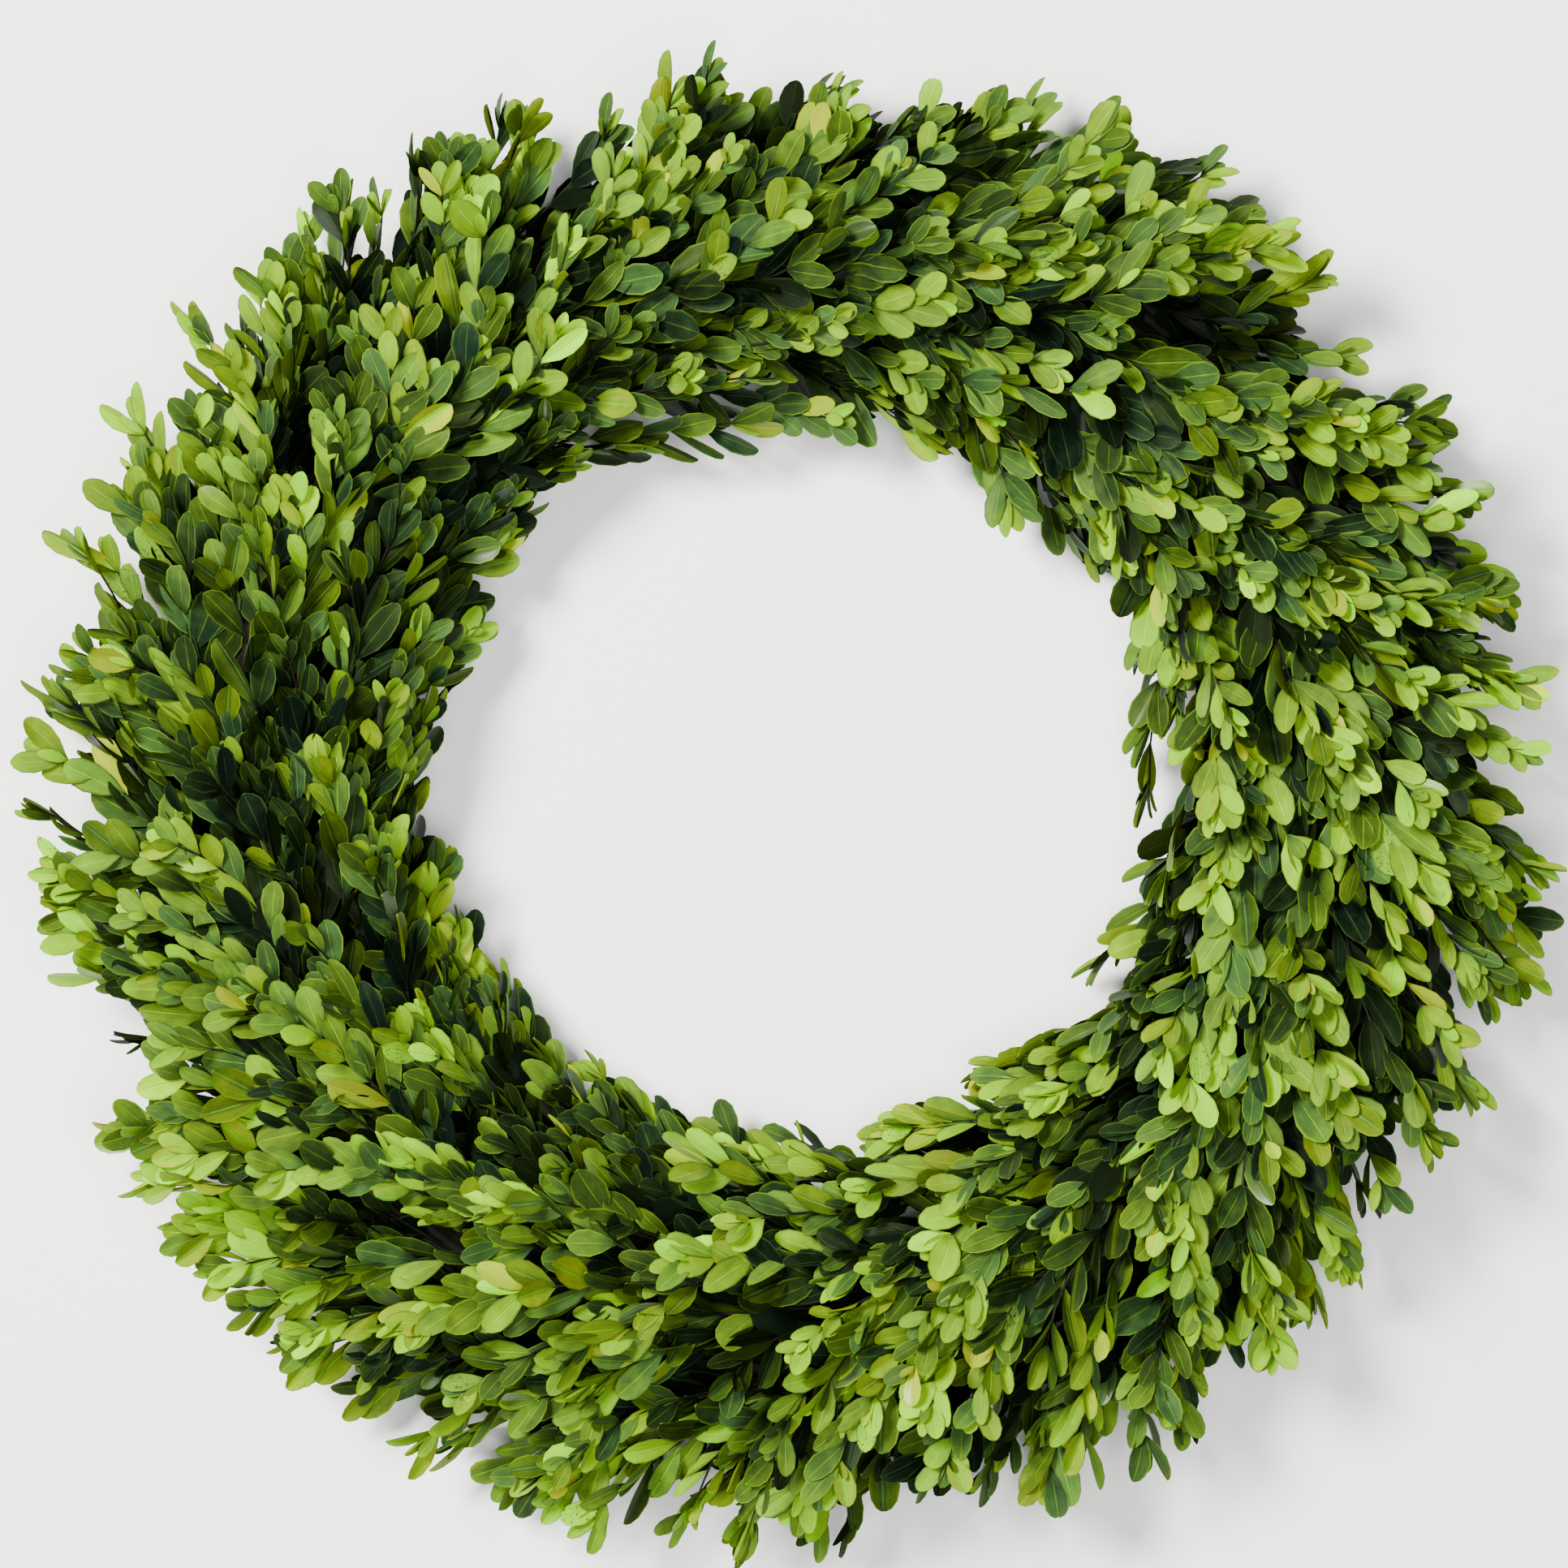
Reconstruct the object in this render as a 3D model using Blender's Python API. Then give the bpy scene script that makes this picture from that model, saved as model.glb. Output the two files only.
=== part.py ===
"""A boxwood wreath: leafy sprigs, bound in overlapping bunches round a welded ring of steel wire.

The wreath lies on its back. Metres, +Z up; the ring's middle is over the origin, and the cross bars of
the wire ring stand on the plane Z = 0. Seen from above, every sprig points clockwise.

Each bunch is one body: a bundle of stems that follows the ring, and the sprigs that leave it. A bundle
fills one station of the ring. Its sprigs rise out of it at a low angle and cover the stems of the next
station, so that they lie over each other like shingles, outwards, upwards and into the hole.
"""

import math
import random
from dataclasses import dataclass

import bmesh
import bpy
from mathutils import Matrix, Vector
from mathutils.bvhtree import BVHTree

MM = 0.001
TAU = 2 * math.pi
UP = Vector((0, 0, 1))

# Wire ring
STATIONS = 18
STATION_TURN = TAU / STATIONS
RING_R = 200 * MM
RAIL_WIRE_R = 1.6 * MM
RAIL_APART = 18.6 * MM
RAIL_SEGMENTS = 30
WIRE_SIDES = 6
BAR_COUNT = 6
BAR_PLACE = 0.17
BAR_WIRE_R = 1.5 * MM
BAR_HALF_HEIGHT = BAR_WIRE_R * math.cos(math.pi / WIRE_SIDES)
BAR_LENGTH = 26 * MM
WELD_DEPTH = 0.6 * MM
RAIL_Z = 2 * BAR_HALF_HEIGHT + RAIL_WIRE_R - WELD_DEPTH

# Bundles of stems: three at each station, six-sided and packed like honeycomb
GAP = 0.35 * MM
BUNDLE_SIDES = 6
BUNDLE_R = 14 * MM
BUNDLE_HALF_WIDTH = BUNDLE_R * math.cos(math.pi / BUNDLE_SIDES)
BUNDLE_STEPS = 2
LOW_Z = RAIL_Z + RAIL_WIRE_R + GAP + BUNDLE_R
TOP_Z = LOW_Z + 1.5 * BUNDLE_R + GAP
BUNDLES = {
    "outer": (RING_R + BUNDLE_HALF_WIDTH + GAP / 2, LOW_Z),
    "front": (RING_R, TOP_Z),
    "inner": (RING_R - BUNDLE_HALF_WIDTH - GAP / 2, LOW_Z),
}

# Binding wire: one turn to each station, round both rails and all three bundles
BINDING_R = 0.5 * MM
BINDING_REACH = 1.5 * MM
BINDING_LOW_Z = 1.2 * MM
BINDING_LOW_HALF = RAIL_APART / 2 + RAIL_WIRE_R + BINDING_REACH
BINDING_SIDE_HALF = 2 * BUNDLE_HALF_WIDTH + GAP / 2 + BINDING_REACH
BINDING_TOP_HALF = 0.7 * BUNDLE_HALF_WIDTH
BINDING_LOOP = (
    (-BINDING_LOW_HALF, BINDING_LOW_Z),
    (-BINDING_SIDE_HALF, LOW_Z - BUNDLE_R / 2),
    (-BINDING_SIDE_HALF, LOW_Z + BUNDLE_R / 2),
    (-BINDING_TOP_HALF, TOP_Z + BUNDLE_R + BINDING_REACH),
    (BINDING_TOP_HALF, TOP_Z + BUNDLE_R + BINDING_REACH),
    (BINDING_SIDE_HALF, LOW_Z + BUNDLE_R / 2),
    (BINDING_SIDE_HALF, LOW_Z - BUNDLE_R / 2),
    (BINDING_LOW_HALF, BINDING_LOW_Z),
)

# Leaves: opposite pairs up each stem, and one leaf at its end. Places are shares of the stem's length.
STEM_R = 1.1 * MM
STEM_TIP_R = 0.8 * MM
STEM_BOW = 4 * MM
LEAF_LENGTH = 35 * MM
LEAF_WIDTH = 21 * MM
LEAF_THICK = 1.0 * MM
LEAF_WIDEST = 0.6
LEAF_TIP_SHARE = 0.5
LEAF_ROOT_LENGTH = 3.5 * MM
END_LEAF_LIFT = math.radians(-5)
PAIR_PLACES = (0.42, 0.69, 0.96)
LEAFY_START = 0.05

# What is drawn anew for each sprig, from its lowest value to its highest
SEED = 22
START_DRAW = (0.02, 0.30)
PASSED_DRAW = (0.92, 1.10)
OUTWARDS_DRAW = (-4 * MM, 5 * MM)
SIDEWAYS_DRAW = (-6 * MM, 6 * MM)
ROLL_DRAW = (-0.20, 0.20)
LEAF_SIZE_DRAW = (0.90, 1.08)
LEAF_ANGLE_DRAW = (math.radians(31), math.radians(41))
LEAF_LIFT_DRAW = (math.radians(9), math.radians(19))
MOST_DRAWS = 120

# The space that the sprigs keep to
CLEARANCE = 0.35 * MM
FLOOR_CLEARANCE = 1.2 * MM
MOST_REACH = 279 * MM
HOLE_R = 124 * MM


@dataclass(frozen=True)
class Row:
    """A row of sprigs round the wreath: the bundles that they leave, and where their stems end."""

    bundle: str
    radius: float
    height: float
    passed_degrees: float
    stations_of_three: tuple


# The rows run from low on the outer side, over the front, to low on the inner side. Blades face away
# from the middle of the wreath's section, and more towards the front than that.
SECTION_MIDDLE_Z = 34 * MM
FACING_FRONT = 0.5
ROWS = (
    Row("outer", 252 * MM, 26 * MM, 18.0, (0, 1, 2)),
    Row("outer", 243 * MM, 59 * MM, 18.5, (0, 1, 2)),
    Row("front", 216 * MM, 81 * MM, 20.0, (0, 1, 2)),
    Row("inner", 142 * MM, 23 * MM, 29.0, (0, 2)),
    Row("inner", 152 * MM, 58 * MM, 27.0, (1, 2)),
    Row("front", 181 * MM, 80 * MM, 24.0, (0, 1, 2)),
)

COLOURS = {
    "boxwood": (0.13, 0.27, 0.03),
    "ring_wire": (0.10, 0.11, 0.10),
    "binding_wire": (0.07, 0.13, 0.06),
}


def clear_scene():
    for obj in list(bpy.data.objects):
        bpy.data.objects.remove(obj)


def make_finish(name, roughness, metallic):
    material = bpy.data.materials.new(name)
    material.use_nodes = True
    shader = material.node_tree.nodes["Principled BSDF"]
    shader.inputs["Base Color"].default_value = (*COLOURS[name], 1)
    shader.inputs["Roughness"].default_value = roughness
    shader.inputs["Metallic"].default_value = metallic
    return material


def on_ring(angle, radius, height):
    """A point of the wreath. Angles grow clockwise, the way that the sprigs point."""
    return Vector((radius * math.cos(angle), -radius * math.sin(angle), height))


def object_of(name, bm, collection, material):
    bmesh.ops.recalc_face_normals(bm, faces=bm.faces)
    mesh = bpy.data.meshes.new(name)
    bm.to_mesh(mesh)
    bm.free()
    mesh.materials.append(material)
    obj = bpy.data.objects.new(name, mesh)
    collection.objects.link(obj)
    return obj


def unite(body, others):
    """Joins the others to body by one Boolean union, and removes them."""
    helpers = bpy.data.collections.new(body.name + "_helpers")
    bpy.context.scene.collection.children.link(helpers)
    for obj in others:
        obj.users_collection[0].objects.unlink(obj)
        helpers.objects.link(obj)
    union = body.modifiers.new("union", "BOOLEAN")
    union.operation = "UNION"
    union.operand_type = "COLLECTION"
    union.collection = helpers
    bpy.context.view_layer.update()
    graph = bpy.context.evaluated_depsgraph_get()
    joined = bpy.data.meshes.new_from_object(body.evaluated_get(graph))
    body.modifiers.clear()
    body.data = joined
    for obj in others:
        bpy.data.objects.remove(obj)
    bpy.data.collections.remove(helpers)


def make_ring_frame(collection, material):
    """Two round rails, one inside the other, welded on cross bars that lie under them."""
    rails = []
    for radius in (RING_R - RAIL_APART / 2, RING_R + RAIL_APART / 2):
        bpy.ops.mesh.primitive_torus_add(
            major_segments=RAIL_SEGMENTS,
            minor_segments=WIRE_SIDES,
            major_radius=radius,
            minor_radius=RAIL_WIRE_R,
        )
        rail = bpy.context.object
        rail.data.transform(Matrix.Translation((0, 0, RAIL_Z)))
        rail.data.materials.append(material)
        rail.users_collection[0].objects.unlink(rail)
        collection.objects.link(rail)
        rails.append(rail)
    bars = []
    for i in range(BAR_COUNT):
        angle = (i + BAR_PLACE) * TAU / BAR_COUNT
        bm = bmesh.new()
        place = Matrix.Translation(on_ring(angle, RING_R, BAR_HALF_HEIGHT))
        place @= Matrix.Rotation(-angle, 4, "Z") @ Matrix.Rotation(math.pi / 2, 4, "Y")
        bmesh.ops.create_cone(
            bm,
            segments=WIRE_SIDES,
            radius1=BAR_WIRE_R,
            radius2=BAR_WIRE_R,
            depth=BAR_LENGTH,
            cap_ends=True,
            matrix=place,
        )
        bars.append(object_of("bar", bm, collection, material))
    frame = rails[0]
    frame.name = frame.data.name = "ring_frame"
    unite(frame, rails[1:] + bars)
    return frame


def make_binding_wire(collection, material):
    """One wire, wound once round the rails and the bundles at each station."""
    curve = bpy.data.curves.new("binding_wire", "CURVE")
    curve.dimensions = "3D"
    curve.bevel_depth = BINDING_R
    curve.bevel_resolution = 0
    curve.use_fill_caps = True
    spline = curve.splines.new("POLY")
    corners = len(BINDING_LOOP)
    spline.points.add(STATIONS * corners - 2)
    for i, point in enumerate(spline.points):
        angle = i / corners * STATION_TURN
        outwards, height = BINDING_LOOP[i % corners]
        point.co = (*on_ring(angle, RING_R + outwards, height), 1)
    tube = bpy.data.objects.new("binding_curve", curve)
    collection.objects.link(tube)
    bpy.context.view_layer.update()
    graph = bpy.context.evaluated_depsgraph_get()
    bm = bmesh.new()
    bm.from_mesh(bpy.data.meshes.new_from_object(tube.evaluated_get(graph)))
    bmesh.ops.remove_doubles(bm, verts=bm.verts, dist=0.01 * MM)
    bpy.data.objects.remove(tube)
    return object_of("binding_wire", bm, collection, material)


def bundle_mesh(radius, height, station):
    """A six-sided bundle of stems that follows the ring through one station, less the gap to the next."""
    bm = bmesh.new()
    half_gap = GAP / 2 / radius
    start = station * STATION_TURN + half_gap
    place = Matrix.Translation(on_ring(start, radius, height))
    place @= Matrix.Rotation(-start, 4, "Z") @ Matrix.Rotation(math.pi / 2, 4, "X")
    bmesh.ops.create_circle(
        bm, segments=BUNDLE_SIDES, radius=BUNDLE_R, cap_ends=True, matrix=place
    )
    bmesh.ops.spin(
        bm,
        geom=bm.verts[:] + bm.edges[:] + bm.faces[:],
        axis=UP,
        angle=-(STATION_TURN - 2 * half_gap),
        steps=BUNDLE_STEPS,
    )
    bmesh.ops.recalc_face_normals(bm, faces=bm.faces)
    return bm


def pull(bm, face, side, up, centre, half_side, half_up):
    """Extrudes a four-cornered face. Each new corner keeps its quarter, as seen along side and up."""
    middle = face.calc_center_median()
    new = bmesh.ops.extrude_discrete_faces(bm, faces=[face])["faces"][0]
    for vert in new.verts:
        offset = vert.co - middle
        right = math.copysign(1, offset.dot(side))
        above = math.copysign(1, offset.dot(up))
        vert.co = centre + half_side * right + half_up * above
    return new


class Sprig:
    """A leafy sprig: its stem's two ends, how its leaves stand, and the mesh that follows from them."""

    def __init__(self, start, end, outwards, leaf_size, leaf_angle, leaf_lift, pairs):
        self.start = start
        self.end = end
        self.along = (end - start).normalized()
        self.up = (outwards - self.along * outwards.dot(self.along)).normalized()
        self.side = self.along.cross(self.up)
        self.leaf_size = leaf_size
        self.leaf_angle = leaf_angle
        self.leaf_lift = leaf_lift
        self.pair_places = PAIR_PLACES[-pairs:]

    def point(self, place):
        """A point of the stem, which bows a little away from the straight line from its start to its end."""
        return self.start.lerp(self.end, place) - self.up * STEM_BOW * math.sin(math.pi * place)

    def stem_places(self, whole):
        """The ends of the stem's lengths: a long bare one before each short one that bears two leaves."""
        half_root = LEAF_ROOT_LENGTH / 2 / (self.end - self.start).length
        places = [0 if whole else self.pair_places[0] - LEAFY_START]
        for place in self.pair_places:
            places += [place - half_root, place + half_root]
        return places

    def mesh(self, extra=0, whole=True):
        """The sprig's mesh. With extra, its stem and its blades are that much thicker on every side.

        If it isn't whole, its stem starts just below its first leaves.
        """
        bm = bmesh.new()
        bmesh.ops.create_cube(bm, size=2)
        front = max(bm.faces, key=lambda face: face.calc_center_median().z)
        places = self.stem_places(whole)
        radii = [STEM_R + (STEM_TIP_R - STEM_R) * place + extra for place in places]
        for vert in bm.verts:
            i = 1 if vert in front.verts else 0
            offset = self.side * vert.co.x + self.up * vert.co.y
            vert.co = self.point(places[i]) + offset * radii[i]
        for i in range(2, len(places)):
            half_side, half_up = self.side * radii[i], self.up * radii[i]
            front = pull(bm, front, self.side, self.up, self.point(places[i]), half_side, half_up)
            if i % 2 == 0:
                self.grow_pair(bm, front, extra)
        self.grow_leaf(bm, front, self.side, self.along, END_LEAF_LIFT, extra)
        bmesh.ops.remove_doubles(bm, verts=bm.verts, dist=0.01 * MM)
        bmesh.ops.recalc_face_normals(bm, faces=bm.faces)
        return bm

    def grow_pair(self, bm, front, extra):
        """Grows a leaf from each side face of the stem's newest length."""
        faces = {face for vert in front.verts for face in vert.link_faces if face is not front}
        faces = sorted(faces, key=lambda face: face.calc_center_median().dot(self.side))
        for hand, face in ((-1, faces[0]), (1, faces[-1])):
            outward = self.side * hand
            flat = self.along * math.cos(self.leaf_angle) + outward * math.sin(self.leaf_angle)
            self.grow_leaf(bm, face, self.along, flat, self.leaf_lift, extra)

    def grow_leaf(self, bm, face, root_side, flat, lift, extra):
        """Grows a blade from a face of the stem: narrow at its root, widest past its middle, blunt at its tip."""
        axis = flat * math.cos(lift) + self.up * math.sin(lift)
        normal = self.up * math.cos(lift) - flat * math.sin(lift)
        across = (root_side - axis * root_side.dot(axis)).normalized()
        root = face.calc_center_median()
        reach = axis * (self.leaf_size * LEAF_LENGTH)
        half_width = across * (self.leaf_size * LEAF_WIDTH / 2)
        half_thick = normal * (LEAF_THICK / 2 + extra)
        middle = root + reach * LEAF_WIDEST
        widest = pull(bm, face, root_side, self.up, middle, half_width, half_thick)
        pull(bm, widest, across, normal, root + reach, half_width * LEAF_TIP_SHARE, Vector())


def draw_sprig(rng, row, station, pairs):
    """A sprig of a row at a station, with its place, length and leaves drawn a little about the row's own."""
    start_angle = (station + rng.uniform(*START_DRAW)) * STATION_TURN
    end_angle = start_angle + math.radians(row.passed_degrees) * rng.uniform(*PASSED_DRAW)
    out = Vector((row.radius - RING_R, row.height - SECTION_MIDDLE_Z)).normalized()
    shift = out * rng.uniform(*OUTWARDS_DRAW) + out.orthogonal() * rng.uniform(*SIDEWAYS_DRAW)
    start = on_ring(start_angle, *BUNDLES[row.bundle])
    end = on_ring(end_angle, row.radius + shift.x, row.height + shift.y)
    outwards = on_ring(end_angle, out.x, out.y + FACING_FRONT)
    outwards.rotate(Matrix.Rotation(rng.uniform(*ROLL_DRAW), 3, (end - start).normalized()))
    leaf_size = rng.uniform(*LEAF_SIZE_DRAW)
    leaf_angle = rng.uniform(*LEAF_ANGLE_DRAW)
    leaf_lift = rng.uniform(*LEAF_LIFT_DRAW)
    return Sprig(start, end, outwards, leaf_size, leaf_angle, leaf_lift, pairs)


def tree_and_box(bm):
    """A mesh's search tree, with the box that holds it."""
    points = [v.co for v in bm.verts]
    low = Vector([min(p[i] for p in points) for i in range(3)])
    high = Vector([max(p[i] for p in points) for i in range(3)])
    return BVHTree.FromBMesh(bm), low, high


def meets(one, other):
    """Whether two meshes' faces cross."""
    apart = any(one[1][i] > other[2][i] or other[1][i] > one[2][i] for i in range(3))
    return not apart and bool(one[0].overlap(other[0]))


def lies_clear(sprig, others, bundle):
    """Whether a sprig crosses nothing, apart from its own bundle below its first leaves."""
    for obstacles, whole in ((others, True), ([bundle], False)):
        bm = sprig.mesh(CLEARANCE, whole)
        shape = tree_and_box(bm)
        bm.free()
        if any(meets(shape, other) for other in obstacles):
            return False
    return True


def lies_within(sprig):
    """Whether a sprig stays above the floor, outside the hole and inside the wreath's outer circle."""
    bm = sprig.mesh()
    radii = [vert.co.xy.length for vert in bm.verts]
    low = min(vert.co.z for vert in bm.verts)
    bm.free()
    return low > FLOOR_CLEARANCE and min(radii) > HOLE_R and max(radii) < MOST_REACH


def settle_sprig(rng, row, station, others, bundle):
    """Draws a sprig again until it lies clear of the others, in the end with fewer leaves."""
    for pairs in range(len(PAIR_PLACES), 0, -1):
        for _ in range(MOST_DRAWS):
            sprig = draw_sprig(rng, row, station, pairs)
            if lies_within(sprig) and lies_clear(sprig, others, bundle):
                return sprig
    return None


def shape_of(obj):
    bm = bmesh.new()
    bm.from_mesh(obj.data)
    shape = tree_and_box(bm)
    bm.free()
    return shape


def make_bundles(collection, material):
    """Every bundle, by the name of its row of bundles and its station."""
    bundles = {}
    for name, (radius, height) in BUNDLES.items():
        for station in range(STATIONS):
            node = f"bunch_{name}_{station + 1:02d}"
            bm = bundle_mesh(radius, height, station)
            bundles[name, station] = object_of(node, bm, collection, material)
    return bundles


def make_bunches(collection, material, wires):
    """Every bunch: its bundle, and its sprigs, which keep clear of everything that stands by then."""
    rng = random.Random(SEED)
    bundles = make_bundles(collection, material)
    shapes = {key: shape_of(obj) for key, obj in bundles.items()}
    settled = [shape_of(wire) for wire in wires]
    grown = {key: [] for key in bundles}
    for row in ROWS:
        for station in range(STATIONS):
            if station % 3 not in row.stations_of_three:
                continue
            key = (row.bundle, station)
            others = settled + [shape for other, shape in shapes.items() if other != key]
            sprig = settle_sprig(rng, row, station, others, shapes[key])
            if sprig is None:
                print("no room for a sprig at", *key)
                continue
            bm = sprig.mesh()
            settled.append(tree_and_box(bm))
            grown[key].append(object_of("sprig", bm, collection, material))
    for key, sprigs in grown.items():
        if sprigs:
            unite(bundles[key], sprigs)


def main():
    clear_scene()
    wreath = bpy.data.collections.new("boxwood_wreath")
    bpy.context.scene.collection.children.link(wreath)
    ring_frame = make_ring_frame(wreath, make_finish("ring_wire", 0.5, 0.6))
    binding = make_binding_wire(wreath, make_finish("binding_wire", 0.45, 0.5))
    make_bunches(wreath, make_finish("boxwood", 0.5, 0.0), [ring_frame, binding])


main()
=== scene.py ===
"""The looks of a preserved boxwood wreath, which lies on its back under a soft light.

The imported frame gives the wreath's pieces at their places: a steel wire ring, a binding wire, and at each
of 18 stations three bunches, outer, front and inner. Each bunch is replaced by a finer one of the same
form: a dark core of packed stems, and thin sprigs that leave it clockwise. Most sprigs rise to the surface
of the wreath and fan out there, and the others end deeper and fill it. Leaves are closed thin solids,
modelled once for each kind and copied.
"""

import logging
import math
import random
from collections.abc import Callable
from dataclasses import dataclass
from enum import Enum

import bmesh
import bpy
import numpy as np
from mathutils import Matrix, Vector


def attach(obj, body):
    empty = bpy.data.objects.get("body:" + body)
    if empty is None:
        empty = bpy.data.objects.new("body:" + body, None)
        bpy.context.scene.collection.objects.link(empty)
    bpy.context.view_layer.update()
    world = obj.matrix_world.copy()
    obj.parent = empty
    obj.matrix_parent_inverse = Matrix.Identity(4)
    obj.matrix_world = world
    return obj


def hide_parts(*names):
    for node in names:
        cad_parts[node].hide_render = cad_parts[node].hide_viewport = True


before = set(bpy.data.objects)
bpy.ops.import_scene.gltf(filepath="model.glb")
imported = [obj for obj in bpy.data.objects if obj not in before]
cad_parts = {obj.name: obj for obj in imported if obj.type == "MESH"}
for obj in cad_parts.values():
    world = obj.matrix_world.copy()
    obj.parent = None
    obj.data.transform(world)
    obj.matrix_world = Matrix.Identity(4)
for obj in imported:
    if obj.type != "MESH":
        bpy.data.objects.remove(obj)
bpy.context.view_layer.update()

LOG = logging.getLogger("boxwood_wreath")
MM = 0.001
TAU = 2 * math.pi
STATIONS = 18
STATION_TURN = TAU / STATIONS
RING_RADIUS = 200 * MM

# The photo's width, and the middle of the wreath's hole in it, in pixels.
PHOTO_PIXELS = 1932
HOLE_X = 980
HOLE_Y = 960
MM_PER_PIXEL = 0.298

Numbers = float | np.ndarray
Colour = tuple[float, float, float]
Point = tuple[float, float, float]
Span = tuple[float, float]
Stops = tuple[tuple[float, Colour], ...]


@dataclass(frozen=True)
class Depth:
    """What sets the sprigs of one shell apart: their number at a station, their reach and their tone."""

    count: int
    reach: Span
    tone: float


class Finish(Enum):
    """The places of the finishes in a bunch's list of materials."""

    LEAF_TOP = 0
    LEAF_UNDER = 1
    STEM = 2


class Bundle(Enum):
    """The three bundles of stems at each station: their names in the frame, and their places."""

    OUTER = "outer"
    FRONT = "front"
    INNER = "inner"


class Shell(Enum):
    """How deep in the wreath a sprig ends."""

    SURFACE = Depth(count=19, reach=(1.02, 1.26), tone=0.0)
    # Painted shade: the deeper shells get a lower tone, so that the inside of the wreath looks dark.
    UNDER = Depth(count=12, reach=(0.70, 0.94), tone=-0.34)
    DEEP = Depth(count=3, reach=(0.55, 0.88), tone=-0.20)


def ring_point(angle: Numbers, radius: Numbers, height: Numbers) -> np.ndarray:
    """Gives a point of the wreath. Angles grow clockwise, the way that the sprigs point.

    Args:
        angle: angle round the ring, in radians.
        radius: distance from the ring's axis.
        height: height above the floor.

    Returns:
        The point, or an array of points, in metres.
    """
    angle, radius, height = np.broadcast_arrays(angle, radius, height)
    return np.stack([radius * np.cos(angle), -radius * np.sin(angle), height], axis=-1)


def unit(vectors: np.ndarray) -> np.ndarray:
    """Scales each vector to a length of one."""
    return vectors / np.linalg.norm(vectors, axis=-1, keepdims=True)


class Value:
    """A number in a material. Arithmetic on it adds Math nodes."""

    def __init__(self, graph: "Graph", socket: bpy.types.NodeSocket) -> None:
        """Wraps a socket of a graph."""
        self.graph = graph
        self.socket = socket

    def __add__(self, other: "Value | float") -> "Value":
        """Adds."""
        return self.graph.math("ADD", self, other)

    def __radd__(self, other: float) -> "Value":
        """Adds, reflected."""
        return self.graph.math("ADD", other, self)

    def __sub__(self, other: "Value | float") -> "Value":
        """Subtracts."""
        return self.graph.math("SUBTRACT", self, other)

    def __rsub__(self, other: float) -> "Value":
        """Subtracts, reflected."""
        return self.graph.math("SUBTRACT", other, self)

    def __mul__(self, other: "Value | float") -> "Value":
        """Multiplies."""
        return self.graph.math("MULTIPLY", self, other)

    def __abs__(self) -> "Value":
        """Drops the sign."""
        return self.graph.math("ABSOLUTE", self)

    def ramp(self, low: float, high: float) -> "Value":
        """Rises smoothly from 0 at low to 1 at high."""
        inputs = {"Value": self, "From Min": low, "From Max": high}
        return self.graph.node("ShaderNodeMapRange", {"interpolation_type": "SMOOTHSTEP"}, inputs, "Result")


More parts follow.
